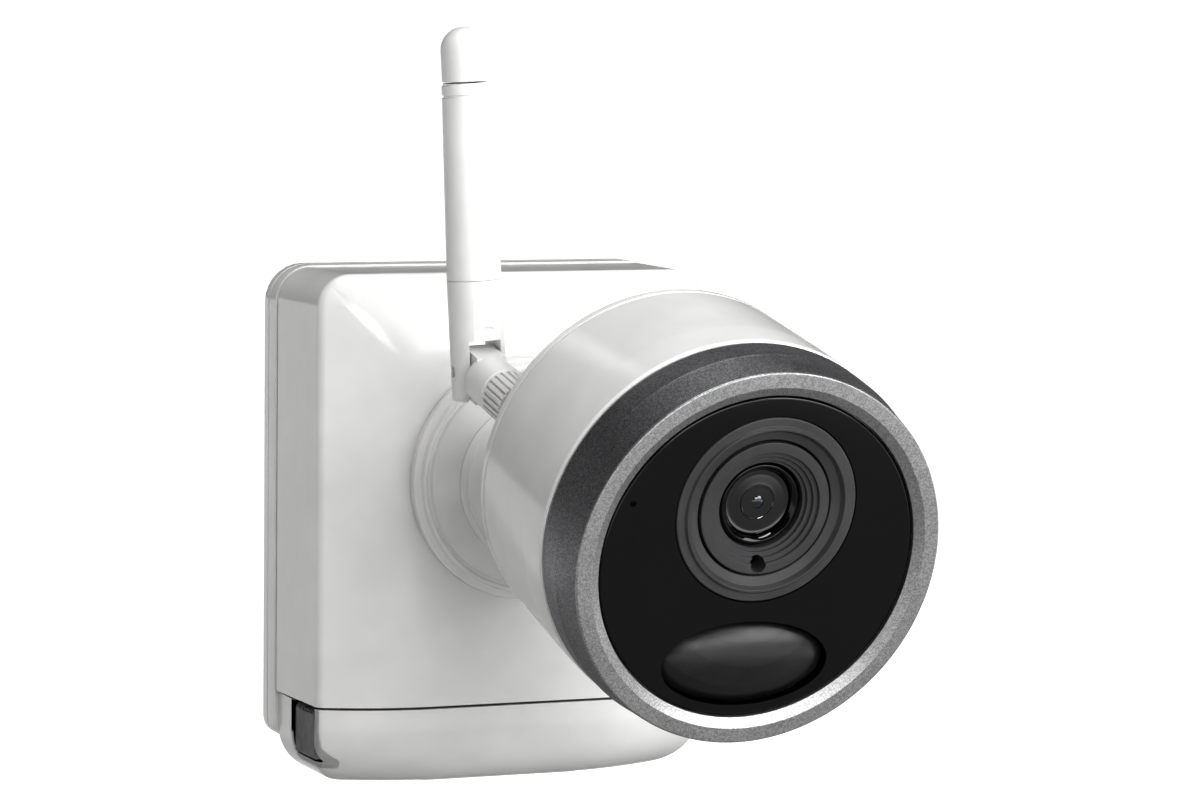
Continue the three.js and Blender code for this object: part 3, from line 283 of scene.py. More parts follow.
def make_materials():
    # Sizes of grain are in millimetres, and drawn a little coarse so that they show.
    return {
        # ABS from a polished mould: bright, with a faint orange peel.
        "white_gloss": moulded_plastic("polished_white_abs", "#e6e6e5", "#efefee",
                                       roughness=0.16, grain=1.6, grain_depth=0.0035),
        # ABS from an etched mould: the same white, but its highlights spread.
        "white_satin": moulded_plastic("satin_white_abs", "#e4e4e3", "#ededec",
                                       roughness=0.36, grain=0.45, grain_depth=0.006),
        # ABS from a spark-eroded mould: a dry, pebbled grey.
        "grey_plastic": moulded_plastic("pebbled_grey_abs", "#626263", "#7a7a7b",
                                        roughness=0.52, grain=0.35, grain_depth=0.05),
        # Polished smoked acrylic: black, and smooth enough to mirror the room.
        "panel_black": moulded_plastic("smoked_acrylic", "#040405", "#08080a",
                                       roughness=0.05, grain=6, grain_depth=0.002, ior=1.49),
        # Moulded polyethylene: waxy, with fine rings.
        "motion_lens": ribbed_lens("motion_lens_polyethylene", MOTION_CENTRE),
        # Nylon from an etched mould: dark grey, and dull enough to keep stray light off the lens.
        "baffle_black": moulded_plastic("matte_baffle_nylon", "#3c3c3d", "#4a4a4b",
                                        roughness=0.45, grain=0.2, grain_depth=0.02),
        # Silver metallic paint: bright flakes on a soft sheen.
        "ring_metal": flake_paint("silver_flake_paint", "#8b8b8b", "#b4b4b4", roughness=0.4),
        # Gunmetal metallic paint: the same flakes, darker and duller.
        "band_metal": flake_paint("gunmetal_flake_paint", "#646466", "#929294", roughness=0.48),
        # Turned steel under bright zinc: pale, with fine lines.
        "steel": plated_metal("zinc_plated_steel", "#b0b0ae", "#bebebc", roughness=0.34),
        # Turned brass under thin gold: warm and brighter than the zinc.
        "brass": plated_metal("gold_plated_brass", "#b08a45", "#cfab62", roughness=0.25),
        # Moulded silicone: black and dry.
        "rubber": moulded_plastic("silicone_rubber", "#1b1b1c", "#262627",
                                  roughness=0.7, grain=0.3, grain_depth=0.02, ior=1.43),
        # Solder mask over copper on fibreglass: green, with tracks.
        "board": circuit_board("solder_masked_board"),
        # Moulded polycarbonate: a tough, dark grey case.
        "pack": moulded_plastic("battery_case_polycarbonate", "#2b2d31", "#3a3c40",
                                roughness=0.45, grain=0.3, grain_depth=0.02, ior=1.58),
        # Ground and coated glass: deep and nearly black.
        "lens_glass": coated_glass("coated_lens_glass", "#10131a", "#020203"),
        # Flat coated glass over silicon: a blue that shows more towards the edge.
        "sensor": coated_glass("sensor_cover_glass", "#1a2030", "#0a0d18"),
    }


# ---- Floor ----

def make_floor():
    """A sweep of matt paper with painted shade: a grey pool is painted on it under the camera, so that its
    black window and undersides stay dark. Further out the paper is pale and glows a little, as a lit backdrop
    does."""
    paper, tree, shader, place = new_material("paper_with_painted_shade")
    fibre = add(tree, "ShaderNodeTexNoise", {"Vector": place, "Scale": per(400), "Detail": 3.0})
    share = add(tree, "ShaderNodeMapRange", {**NOISE_SPAN, "Value": fibre.outputs["Fac"]})
    pale = add(tree, "ShaderNodeMix", {"Factor": share.outputs["Result"], "A": linear("#f5f5f5"),
                                       "B": linear("#f8f8f8")}, data_type="RGBA")
    local = add(tree, "ShaderNodeMapping", {"Vector": place, "Location": (0, -SHADE_POOL_CENTRE_Y, FLOOR_DROP)})
    reach = add(tree, "ShaderNodeVectorMath", {0: local.outputs["Vector"]}, operation="LENGTH")
    shade_and_glow_ramp = {"Value": reach.outputs["Value"], "From Min": SHADE_AND_GLOW_NEAR, "From Max": SHADE_AND_GLOW_FAR}
    painted_shade_fade, glow = [add(tree, "ShaderNodeMapRange", {**shade_and_glow_ramp, "To Max": most},
                          interpolation_type="SMOOTHSTEP").outputs["Result"] for most in (1.0, FLOOR_GLOW)]
    # Painted shade: a mid grey under the camera, which fades out into the pale paper further out.
    colour = add(tree, "ShaderNodeMix", {"Factor": painted_shade_fade, "A": linear("#9c9c9c"),
                                         "B": pale.outputs["Result"]}, data_type="RGBA")
    join(tree, shader, {"Base Color": colour.outputs["Result"], "Emission Strength": glow,
                        "Emission Color": linear("#ffffff"), "Roughness": 1.0, "Specular IOR Level": 0.0})
    bm = bmesh.new()
    bmesh.ops.create_grid(bm, x_segments=2, y_segments=2, size=FLOOR_SIZE / 2)
    bmesh.ops.translate(bm, vec=(0, 0, -FLOOR_DROP), verts=bm.verts)
    mesh = bpy.data.meshes.new("floor")
    bm.to_mesh(mesh)
    bm.free()
    mesh.materials.append(paper)
    floor = bpy.data.objects.new("floor", mesh)
    bpy.context.scene.collection.objects.link(floor)


# ---- Measuring the frame ----

joints = {joint["name"]: joint for joint in frame["joints"]}


def joint_axis(name):
    return Vector(joints[name]["axis"]).normalized()


def joint_point(name):
    return Vector(joints[name]["pos_m"])


def local_frame(origin, x_axis, y_axis):
    turn = Matrix((x_axis, y_axis, x_axis.cross(y_axis))).transposed().to_4x4()
    return Matrix.Translation(origin) @ turn


def span(node, place=Matrix()):
    """Lowest and highest corner of a CAD node in a local frame, in millimetres."""
    to_local = (place @ TO_METRES).inverted()
    points = [to_local @ v.co for v in frame["nodes"][node].data.vertices]
    return [Vector([pick(p[i] for p in points) for i in range(3)]) for pick in (min, max)]


def middle(node, place=Matrix()):
    low, high = span(node, place)
    return (low + high) / 2


def half_width(node, place=Matrix()):
    low, high = span(node, place)
    return (high.x - low.x) / 2


def moved(place, x=0.0, y=0.0, z=0.0):
    """The local frame moved along its own axes, in millimetres."""
    return place @ Matrix.Translation(Vector((x, y, z)) * MM)


RIBS_ABOVE = 22  # the motion lens's rings are centred this far above it

BALL = local_frame(joint_point("head_roll"), joint_axis("head_tilt"), -joint_axis("head_roll"))
RING_MIDDLE = middle("front_ring", BALL)
HEAD = moved(BALL, RING_MIDDLE.x, span("front_ring", BALL)[0].y, RING_MIDDLE.z)
LENS_MIDDLE = middle("lens_hood", HEAD)
LENS = moved(HEAD, x=LENS_MIDDLE.x, z=LENS_MIDDLE.z)
MOTION_MIDDLE = middle("motion_lens", HEAD)
MOTION = moved(HEAD, x=MOTION_MIDDLE.x, z=MOTION_MIDDLE.z)
MOTION_CENTRE = moved(MOTION, z=RIBS_ABOVE).translation
ANTENNA = local_frame(joint_point("nut_turn"), joint_axis("antenna_fold"), joint_axis("nut_turn"))
FOLD_POINT = joint_point("antenna_fold")
WHIP_UP = (middle("whip_cap") * MM - FOLD_POINT).normalized()
# The whip's own frame has Y up the whip, so that its turned parts are made as the others are.
WHIP = local_frame(FOLD_POINT, joint_axis("antenna_fold"), WHIP_UP)

BOX_LOW, BOX_HIGH = span("front_housing")
DOOR_LOW, DOOR_HIGH = span("battery_door")
REAR_LOW, REAR_HIGH = span("rear_housing")
FACE_Y = DOOR_LOW.y
SPLIT_Z = DOOR_HIGH.z + 0.5
# On the mount, Y runs back into the box from its front face.
MOUNT = Matrix.Translation(Vector((0, FACE_Y, joint_point("collar_turn").z / MM)) * MM)
BALL_REACH = FACE_Y - joint_point("collar_turn").y / MM


# ---- Making shapes ----

ARC_STEP = math.radians(12)
TURN_STEPS = 112
SHARP = math.radians(38)

# Turns that lay a shape made along Y on another axis
ALONG_X = Matrix.Rotation(-QUARTER, 4, "Z")
ALONG_Z = Matrix.Rotation(QUARTER, 4, "X")
# Lays an outline made in X and Z down in X and Y; what was Y becomes -Z.
FLAT = Matrix(((1, 0, 0, 0), (0, 0, 1, 0), (0, -1, 0, 0), (0, 0, 0, 1)))


def rounded(corners, closed=True):
    """Points through (x, y) corners; one that gives a radius, (x, y, radius), becomes an arc."""
    points = []
    for i, (x, y, *radius) in enumerate(corners):
        here = Vector((x, y))
        if not radius or (not closed and i in (0, len(corners) - 1)):
            points.append(here)
            continue
        back = (Vector(corners[i - 1][:2]) - here).normalized()
        ahead = (Vector(corners[(i + 1) % len(corners)][:2]) - here).normalized()
        half = back.angle(ahead) / 2
        centre = here + (back + ahead).normalized() * radius[0] / math.sin(half)
        start = here + back * radius[0] / math.tan(half) - centre
        end = here + ahead * radius[0] / math.tan(half) - centre
        sweep = math.atan2(start.x * end.y - start.y * end.x, start.dot(end))
        steps = max(2, round(abs(sweep) / ARC_STEP))
        points += [centre + Matrix.Rotation(sweep * k / steps, 2) @ start for k in range(steps + 1)]
    return points


def closed_up(bm):
    """Merges doubled points and turns the faces outwards."""
    bmesh.ops.remove_doubles(bm, verts=bm.verts, dist=1e-4)
    bmesh.ops.recalc_face_normals(bm, faces=bm.faces)
    return bm


def turned(profile, steps=TURN_STEPS):
    """A body turned round Y from (radius, y, rounding) corners. A profile that leaves the axis is a ring."""
    bm = bmesh.new()
    on_axis = profile[0][0] == 0
    verts = [bm.verts.new((p.x, p.y, 0)) for p in rounded(profile, closed=not on_axis)]
    pairs = zip(verts, verts[1:]) if on_axis else zip(verts, verts[1:] + verts[:1])
    edges = [bm.edges.new(pair) for pair in pairs]
    bmesh.ops.spin(bm, geom=verts + edges, cent=(0, 0, 0), axis=(0, 1, 0), angle=math.tau, steps=steps,
                   use_merge=True)
    return closed_up(bm)


def rod(radius, y0, y1, soft=0.2, steps=48):
    """A round bar along Y with softened ends."""
    return turned([(0, y0), (radius, y0, soft), (radius, y1, soft), (0, y1)], steps)


def loop(bm, points, y):
    """The edges of a closed outline of (x, z) points at a level."""
    verts = [bm.verts.new((x, y, z)) for x, z in points]
    return [bm.edges.new(pair) for pair in zip(verts, verts[1:] + verts[:1])]


def stacked(outline, levels, holes=(), pockets=()):
    """A body that follows outline(inset) in X and Z through (y, inset) levels. Holes go right through, and
    (points, depth) pockets sink into the first level's face."""
    bm = bmesh.new()
    rings = [loop(bm, outline(inset), y) for y, inset in levels]
    for near, far in zip(rings, rings[1:]):
        bmesh.ops.bridge_loops(bm, edges=near + far)
    start, end = levels[0][0], levels[-1][0]
    entries = [loop(bm, points, start) for points in holes]
    exits = [loop(bm, points, end) for points in holes]
    mouths = [loop(bm, points, start) for points, depth in pockets]
    for near, far in zip(entries, exits):
        bmesh.ops.bridge_loops(bm, edges=near + far)
    bmesh.ops.triangle_fill(bm, edges=sum(entries + mouths, rings[0]), use_beauty=True)
    bmesh.ops.triangle_fill(bm, edges=sum(exits, rings[-1]), use_beauty=True)
    for mouth, (points, depth) in zip(mouths, pockets):
        floor = loop(bm, points, start + depth)
        bmesh.ops.bridge_loops(bm, edges=mouth + floor)
        bmesh.ops.triangle_fill(bm, edges=floor, use_beauty=True)
    return closed_up(bm)


def circle(radius, x=0.0, z=0.0, steps=96, squash=1.0):
    """Points round a circle, or round an ellipse whose height is squash times its width."""
    turns = [math.tau * i / steps for i in range(steps)]
    return [(x + radius * math.cos(a), z + radius * squash * math.sin(a)) for a in turns]


def rectangle(x0, x1, z0, z1, radius, low_radius=None):
    """An outline(inset) function for a rectangle with rounded corners."""
    def outline(inset=0.0):
        upper = max(radius - inset, 0.05)
        lower = max((low_radius or radius) - inset, 0.05)
        return rounded([(x0 + inset, z0 + inset, lower), (x1 - inset, z0 + inset, lower),
                        (x1 - inset, z1 - inset, upper), (x0 + inset, z1 - inset, upper)])
    return outline


def soft_ends(y0, y1, soft):
    """Levels of a stacked body whose two ends are rounded off."""
    turns = [math.radians(a) for a in (0, 22, 45, 68, 90)]
    side = math.copysign(soft, y1 - y0)
    near = [(y0 + side * (1 - math.sin(a)), soft * (1 - math.cos(a))) for a in turns]
    far = [(y1 - side * (1 - math.sin(a)), soft * (1 - math.cos(a))) for a in turns]
    return near[::-1] + far


def block(x0, x1, y0, y1, z0, z1, soft=0.0):
    """A box between those levels, with its edges rounded by soft."""
    bm = bmesh.new()
    bmesh.ops.create_cube(bm, size=1)
    bmesh.ops.scale(bm, vec=(x1 - x0, y1 - y0, z1 - z0), verts=bm.verts)
    bmesh.ops.translate(bm, vec=((x0 + x1) / 2, (y0 + y1) / 2, (z0 + z1) / 2), verts=bm.verts)
    if soft:
        bmesh.ops.bevel(bm, geom=bm.edges[:], offset=soft, segments=4, profile=0.5, affect="EDGES",
                        material=-1)
    return bm


def shifted(bm, x=0.0, y=0.0, z=0.0, turn=Matrix()):
    """The shape turned about the origin, then moved."""
    bmesh.ops.transform(bm, matrix=Matrix.Translation((x, y, z)) @ turn, verts=bm.verts)
    return bm


def merged(*shapes):
    """Several shapes in one mesh."""
    whole = bmesh.new()
    for shape in shapes:
        part = bpy.data.meshes.new("part")
        shape.to_mesh(part)
        whole.from_mesh(part)
        bpy.data.meshes.remove(part)
        shape.free()
    return whole


def bench(bm):
    """A short-lived object that holds a shape while it is cut."""
    mesh = bpy.data.meshes.new("bench")
    bm.to_mesh(mesh)
    bm.free()
    held = bpy.data.objects.new("bench", mesh)
    bpy.context.scene.collection.objects.link(held)
    return held


def carved(body, *tools, operation="DIFFERENCE"):
    """The body with each tool cut out of it, or with another boolean operation."""
    held = bench(body)
    cutters = [bench(tool) for tool in tools]
    for cutter in cutters:
        cut = held.modifiers.new("cut", "BOOLEAN")
        cut.object = cutter
        cut.operation = operation
        cut.solver = "EXACT"
    graph = bpy.context.evaluated_depsgraph_get()
    result = bmesh.new()
    result.from_mesh(held.evaluated_get(graph).to_mesh())
    for used in [held, *cutters]:
        mesh = used.data
        bpy.data.objects.remove(used)
        bpy.data.meshes.remove(mesh)
    return result


def soft_edges(bm, radius, pick=lambda edge: True, segments=3):
    """Rounds off the sharp edges that pick chooses."""
    sharp = [e for e in bm.edges if len(e.link_faces) == 2 and e.calc_face_angle(0) > SHARP and pick(e)]
    bmesh.ops.bevel(bm, geom=sharp, offset=radius, segments=segments, profile=0.5, affect="EDGES",
                    clamp_overlap=True, material=-1)
    return bm


def piece(name, bm, body, slot, nodes, place=Matrix()):
    """Places a finished shape, in its material, on its CAD body, where it stands for CAD nodes."""
    bmesh.ops.transform(bm, matrix=place @ TO_METRES, verts=bm.verts)
    mesh = bpy.data.meshes.new(name)
    bm.to_mesh(mesh)
    bm.free()
    mesh.shade_smooth()
    mesh.set_sharp_from_angle(angle=SHARP)
    mesh.materials.append(materials[slot])
    made = bpy.data.objects.new(name, mesh)
    bpy.context.scene.collection.objects.link(made)
    flat = made.modifiers.new("even_shading", "WEIGHTED_NORMAL")
    flat.keep_sharp = True
    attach(made, body)
    if nodes:
        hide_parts(*nodes)
    return made


# ---- Power box ----

FIT_GAP = 0.3
BOX_WALL = 2.2
FACE_RISE = 6.0  # how far the face stands out from the front's rim
FACE_BORDER = 14.0  # width of the slope between them
BOX_CORNER = 7.0
SIDE_DRAFT = 0.7
RIM = 1.4  # rounding between the sides and the sloped border
CREASE = 3.0  # how softly two borders meet
SHOULDER = 0.7  # share of the border over which it flattens into the face
SHEET_STEPS = 104
DOOR_STEPS = 72

FLOOR_INSET = 0.6  # the underside stays this far inside the front's sides
PACK_GAP = 1.0

LUG_RADIUS = 2.0
LUG_LENGTH = 3.0
LUG_GAP = 0.35
PIN_LOW, PIN_HIGH = span("door_hinge_pin")
HINGE_X = (PIN_LOW.x + PIN_HIGH.x) / 2
HINGE_Z = (PIN_LOW.z + PIN_HIGH.z) / 2
LUG_PAST_PIN = 0.2
LUG_ENDS = [(PIN_LOW.y - LUG_PAST_PIN, PIN_LOW.y - LUG_PAST_PIN + LUG_LENGTH),
            (PIN_HIGH.y + LUG_PAST_PIN - LUG_LENGTH, PIN_HIGH.y + LUG_PAST_PIN)]

BOX_SCREWS = [f"case_screw_{i}" for i in (1, 2, 3, 4)]
COVER_SCREWS = [f"cover_screw_{i}" for i in (1, 2, 3)]
SINK_DEPTH = 1.75
PLATE_POCKET = 3.1
PLATE_CORNER = 4
PLATE_HOLE_INSET = 9.0
PLATE_HOLE = 2.2

SCREW_RADIUS = 2.6
SCREW_HEAD_DEPTH = 1.4
SHANK_RADIUS = 1.3
CROSS_REACH = 1.45
CROSS_HALF = 0.3
CROSS_DEPTH = 1.1

DOOR_TOE = 13.0  # radius at which the door's front rolls under
DOOR_CORNER = 10.0
LATCH_GAP = 0.35
LATCH_REACH = 3.4  # the latch's pocket goes this far in from the lever's face
LATCH_WALL = 1.5
OUTSIDE = 60  # well past the box's side

LEVER_THICKNESS = 1.5
LEVER_KNUCKLE = 1.3
LEVER_END = 2.6


def soft_min(a, b, blend):
    return min(a, b) - max(blend - abs(a - b), 0) ** 2 / (4 * blend)


def border_rise(inset):
    """How far the front stands out at an inset from its outline."""
    return FACE_RISE * soft_min(inset / FACE_BORDER, 1, SHOULDER)


def rim_drop(inset):
    """How far the rounded rim falls back near the outline."""
    reach = 1 - min(inset, RIM) / RIM
    return RIM * (1 - math.sqrt(max(0, 1 - reach * reach)))


def bent_sheet(columns, rows, place):
    """A sheet whose points are placed from their share across, -1 to 1, and up, -1 to 1."""
    bm = bmesh.new()
    bmesh.ops.create_grid(bm, x_segments=columns, y_segments=rows, size=1)
    for vert in bm.verts:
        vert.co = place(vert.co.x, vert.co.y)
    return bm


def drawn_rim(bm, edges):
    """Points of a new skirt that grows from those edges."""
    drawn = bmesh.ops.extrude_edge_only(bm, edges=edges)["geom"]
    return [v for v in drawn if isinstance(v, bmesh.types.BMVert)]


def skirted(bm, back, open_z):
    """Draws the sheet's rim back to a plane, all round except along the level open_z, and gives it a wall."""
    rim = [e for e in bm.edges if e.is_boundary and not all(abs(v.co.z - open_z) < 1e-4 for v in e.verts)]
    for vert in drawn_rim(bm, rim):
        vert.co.y = back
        # The right side takes its draft all along, the left side in proportion; the top is flat either way.
        vert.co.x -= SIDE_DRAFT * (vert.co.x / BOX_LOW.x if vert.co.x < 0 else -1)
    closed_up(bm)
    face = min(bm.faces, key=lambda f: f.calc_center_median().y)
    if face.normal.y > 0:
        bmesh.ops.reverse_faces(bm, faces=bm.faces[:])
    bmesh.ops.solidify(bm, geom=bm.faces[:], thickness=BOX_WALL)
    bmesh.ops.recalc_face_normals(bm, faces=bm.faces)
    return bm


def box_front():
    """The front shell: a pillow with sloped borders, round upper corners and skirts, open below."""
    half = BOX_HIGH.x - SIDE_DRAFT
    edge = FACE_Y + FACE_RISE
    top = BOX_HIGH.z
    height = top - SPLIT_Z

    def place(u, v):
        side = half * (1 - abs(u)) ** 2
        above = height * ((1 - v) / 2) ** 2
        inset = min(side, above)
        blend = CREASE * min(inset / BOX_CORNER, 1) + 1e-6
        y = edge - border_rise(soft_min(side, above, blend)) + rim_drop(inset)
        x, z = half - side, top - above
        if side < BOX_CORNER and above < BOX_CORNER:
            out = Vector((BOX_CORNER - side, BOX_CORNER - above))
            out = out.normalized() * max(out) if out.length else out
            x, z = half - BOX_CORNER + out.x, top - BOX_CORNER + out.y
        return Vector((math.copysign(x, u), y, z))

    shell = skirted(bent_sheet(SHEET_STEPS, SHEET_STEPS, place), BOX_HIGH.y, SPLIT_Z)
    return merged(shell, box_floor(), *hinge_lugs())


def box_floor():
    """The underside of the box, with the opening that the battery packs pass through."""
    packs_low = span("battery_pack_left")[0]
    packs_high = span("battery_pack_right")[1]
    flat = BOX_HIGH.x - SIDE_DRAFT - FACE_BORDER
    side = BOX_HIGH.x - SIDE_DRAFT - FLOOR_INSET
    edge = FACE_Y + FACE_RISE + FLOOR_INSET
    front = FACE_Y + 0.8
    plan = rounded([(side, BOX_HIGH.y), (side, edge, 1.5), (flat, front, 9), (-flat, front, 9),
                    (-side, edge, 1.5), (-side, BOX_HIGH.y)])
    slot = rectangle(packs_low.x - PACK_GAP, packs_high.x + PACK_GAP,
                     packs_low.y - PACK_GAP, packs_high.y + PACK_GAP, 2)()
    # The outline is drawn in X and Y, so the floor is made lying on its side and then turned flat.
    floor = stacked(lambda inset: [(x, y) for x, y in plan], [(-SPLIT_Z, 0), (-SPLIT_Z - BOX_WALL, 0)],
                    holes=[slot])
    return shifted(floor, turn=FLAT)


def hinge_lugs():
    x, z, r = HINGE_X, HINGE_Z, LUG_RADIUS
    soft = r * 0.98
    tongue = rounded([(x - r, SPLIT_Z + 1), (x - r, z - r, soft), (x + r, z - r, soft), (x + r, SPLIT_Z + 1)])
    return [stacked(lambda inset: tongue, [(y0, 0), (y1, 0)]) for y0, y1 in LUG_ENDS]


def box_back():
    """The rear housing: a shallow tray with a seam groove round it, and a pocket for the wall plate."""
    low, high = span("wall_plate")
    pocket = rectangle(low.x - FIT_GAP, high.x + FIT_GAP, low.z - FIT_GAP, high.z + FIT_GAP, PLATE_CORNER)()
    places = [middle(name) for name in BOX_SCREWS]
    sinks = [(circle(2.8, p.x, p.z, 32), -SINK_DEPTH) for p in places]
    wall_edge = [(0, 0.9), (-0.12, 0.45), (-0.45, 0.12), (-0.9, 0)]
    groove = [(-3.2, 0), (-3.35, 0.22), (-3.75, 0.22), (-3.9, 0)]
    front_edge = [(REAR_LOW.y + 0.5, 0), (REAR_LOW.y + 0.15, 0.12), (REAR_LOW.y, 0.45)]
    outline = rectangle(REAR_LOW.x, REAR_HIGH.x, REAR_LOW.z, REAR_HIGH.z, radius=8, low_radius=4)
    return stacked(outline, [*wall_edge, *groove, *front_edge], pockets=[(pocket, -PLATE_POCKET), *sinks])


def wall_plate():
    low, high = span("wall_plate")
    places = [(x, z) for x in (low.x + PLATE_HOLE_INSET, high.x - PLATE_HOLE_INSET)
              for z in (low.z + PLATE_HOLE_INSET, high.z - PLATE_HOLE_INSET)]
    holes = [circle(PLATE_HOLE, x, z, 32) for x, z in places]
    return stacked(rectangle(low.x, high.x, low.z, high.z, PLATE_CORNER), soft_ends(0, low.y, 0.35), holes)


def screw_head():
    """A domed screw head at the origin that faces +Y, with a cross recess."""
    under = -SCREW_HEAD_DEPTH
    dome = turned([(0, under), (SCREW_RADIUS, under, 0.15), (SCREW_RADIUS, -0.45, 0.4),
                   (SCREW_RADIUS * 0.55, -0.06, 2), (0, 0)], 40)
    arms = ((CROSS_HALF, CROSS_REACH), (CROSS_REACH, CROSS_HALF))
    return carved(dome, *[block(-a, a, -CROSS_DEPTH, 1, -b, b) for a, b in arms])


def box_screw(node):
    """A whole screw, from its tip to its head, which lies just inside its sink."""
    place = middle(node)
    top = -0.15
    shank = rod(SHANK_RADIUS, span(node)[0].y, top - 1.2, 0.5)
    return shifted(merged(shifted(screw_head(), y=top), shank), place.x, 0, place.z)


def battery_door():
    """The door: a tray whose front rolls under, with a lined pocket for the latch and a hinge knuckle."""
    half = DOOR_HIGH.x
    edge = FACE_Y + FACE_RISE
    top, low = DOOR_HIGH.z, DOOR_LOW.z
    straight = top - low - DOOR_TOE
    length = straight + DOOR_TOE * QUARTER

    def place(u, v):
        along = length * (1 - v) / 2
        roll = max(0, along - straight) / DOOR_TOE
        z = top - along if along < straight else low + DOOR_TOE * (1 - math.sin(roll))
        fall = DOOR_TOE * (1 - math.cos(roll))
        curl = max(0, low + DOOR_CORNER - z)
        width = half - DOOR_CORNER + math.sqrt(DOOR_CORNER ** 2 - curl ** 2)
        side = width * (1 - abs(u)) ** 2
        return Vector((math.copysign(width - side, u), edge - border_rise(side) + rim_drop(side) + fall, z))

    def solid():
        bm = bent_sheet(SHEET_STEPS, DOOR_STEPS, place)
        for vert in drawn_rim(bm, [e for e in bm.edges if e.is_boundary]):
            vert.co.y = DOOR_HIGH.y
        bmesh.ops.triangle_fill(bm, edges=[e for e in bm.edges if e.is_boundary], use_beauty=True)
        return closed_up(bm)

    # The cavity is the door itself, shrunk by its walls and left to run out through its open top.
    cavity = solid()
    depth = DOOR_HIGH.y - FACE_Y
    for vert in cavity.verts:
        vert.co.x *= (half - BOX_WALL) / half
        vert.co.y = FACE_Y + BOX_WALL + (vert.co.y - FACE_Y) * (depth - 2 * BOX_WALL) / depth
        vert.co.z = low + BOX_WALL + (vert.co.z - low) * (top - low - BOX_WALL + 2) / (top - low)
    lever_low, lever_high = span("latch_lever")
    inner = lever_low.x + LATCH_REACH
    y0, y1, z0 = lever_low.y - LATCH_GAP, lever_high.y + LATCH_GAP, lever_low.z - 0.6
    pocket = block(-OUTSIDE, inner, y0, y1, z0, top + 3, 0.5)
    room = LUG_RADIUS + LUG_GAP
    rooms = [block(HINGE_X - room, OUTSIDE, start - LUG_GAP, end + LUG_GAP, HINGE_Z - room, top + 1)
             for start, end in LUG_ENDS]
    shell = carved(solid(), cavity, pocket.copy(), *rooms)
    shell = soft_edges(shell, 0.3, lambda e: all(abs(v.co.z - top) < 1e-3 for v in e.verts))
    lining = block(-OUTSIDE, inner + LATCH_WALL, y0 - LATCH_WALL, y1 + LATCH_WALL, z0 - LATCH_WALL,
                   top - 0.05)
    lining = carved(carved(lining, solid(), operation="INTERSECT"), pocket)
    knuckle = rod(LUG_RADIUS, LUG_ENDS[0][1] + LUG_GAP, LUG_ENDS[1][0] - LUG_GAP)
    return merged(shell, lining, shifted(knuckle, HINGE_X, 0, HINGE_Z), finger_pad())


def finger_pad():
    """A raised pad under the door for a fingertip."""
    low = -DOOR_LOW.z
    outline = rectangle(-21, 21, FACE_Y + 12, FACE_Y + 24, 6)
    levels = [(low - 0.6, 0.4), (low + 0.02, 0.4), (low + 0.2, 0.6), (low + 0.3, 1.4)]
    return shifted(stacked(outline, levels), turn=FLAT)


def latch():
    """The lever's plate, with knuckles along its top that leave room for the spring and the lugs."""
    low, high = span("latch_lever")
    pin = middle("latch_pin")
    spring_low, spring_high = span("latch_spring")
    plate = block(low.x, low.x + LEVER_THICKNESS, low.y, high.y, low.z, pin.z + 0.3, 0.3)
    ends = [(low.y, low.y + LEVER_END), (low.y + LEVER_END + 0.5, spring_low.y - FIT_GAP),
            (spring_high.y + FIT_GAP, high.y - LEVER_END - 0.5), (high.y - LEVER_END, high.y)]
    knuckles = [shifted(rod(LEVER_KNUCKLE, y0, y1, 0.25), pin.x, 0, pin.z) for y0, y1 in ends]
    return merged(plate, *knuckles)


def battery_pack(node):
    low, high = span(node)
    levels = [(-z, inset) for z, inset in soft_ends(low.z, high.z - 1, 0.8)]
    return shifted(stacked(rectangle(low.x, high.x, low.y, high.y, 3), levels), turn=FLAT)


def battery_seal():
    low, high = span("battery_seal")
    bead = 1.6
    levels = [(-z, inset) for z, inset in soft_ends(low.z, high.z, 0.25)]
    slot = rectangle(low.x + bead, high.x - bead, low.y + bead, high.y - bead, 1.5)()
    return shifted(stacked(rectangle(low.x, high.x, low.y, high.y, 3), levels, [slot]), turn=FLAT)


def make_box():
    piece("box_front_moulding", box_front(), "box", "white_gloss", ["front_housing"])
    piece("box_back_moulding", box_back(), "box", "white_gloss", ["rear_housing"])
    piece("wall_plate_pressing", wall_plate(), "box", "steel", ["wall_plate"])
    piece("box_screws", merged(*[box_screw(node) for node in BOX_SCREWS]), "box", "steel", BOX_SCREWS)
    for side in ("left", "right"):
        node = f"battery_pack_{side}"
        piece(f"{node}_case", battery_pack(node), "box", "pack", [node])
    piece("battery_seal_bead", battery_seal(), "box", "rubber", ["battery_seal"])
    pin = shifted(rod(0.8, PIN_LOW.y, PIN_HIGH.y), HINGE_X, 0, HINGE_Z)
    piece("door_pin", pin, "box", "steel", ["door_hinge_pin"])
    piece("battery_door_moulding", battery_door(), "battery_door", "white_gloss", ["battery_door"])
    piece("latch_moulding", latch(), "latch", "grey_plastic", ["latch_lever"])


# ---- Ball mount: profiles give the distance in front of the box's face ----

BALL_RADIUS = 10.5
LINER_INNER = 10.8
LINER_OUTER = 12.6
SOCKET_RADIUS = 12.9
SOCKET_MOUTH = 62  # degrees from the mount's axis
SOCKET_END = 118
POST_RADIUS = 3.5
FLANGE_STEP = 2.4
COLLAR_BORE = 3  # the collar's wall below its radius


def forward(profile, steps=TURN_STEPS):
    return turned([(p[0], -p[1], *p[2:]) for p in profile], steps)


def arc(radius, degrees, reach=0.0):
    """Points on a ball that stands at a reach, by angle from the axis."""
    return [(radius * math.sin(a), reach + radius * math.cos(a)) for a in map(math.radians, degrees)]


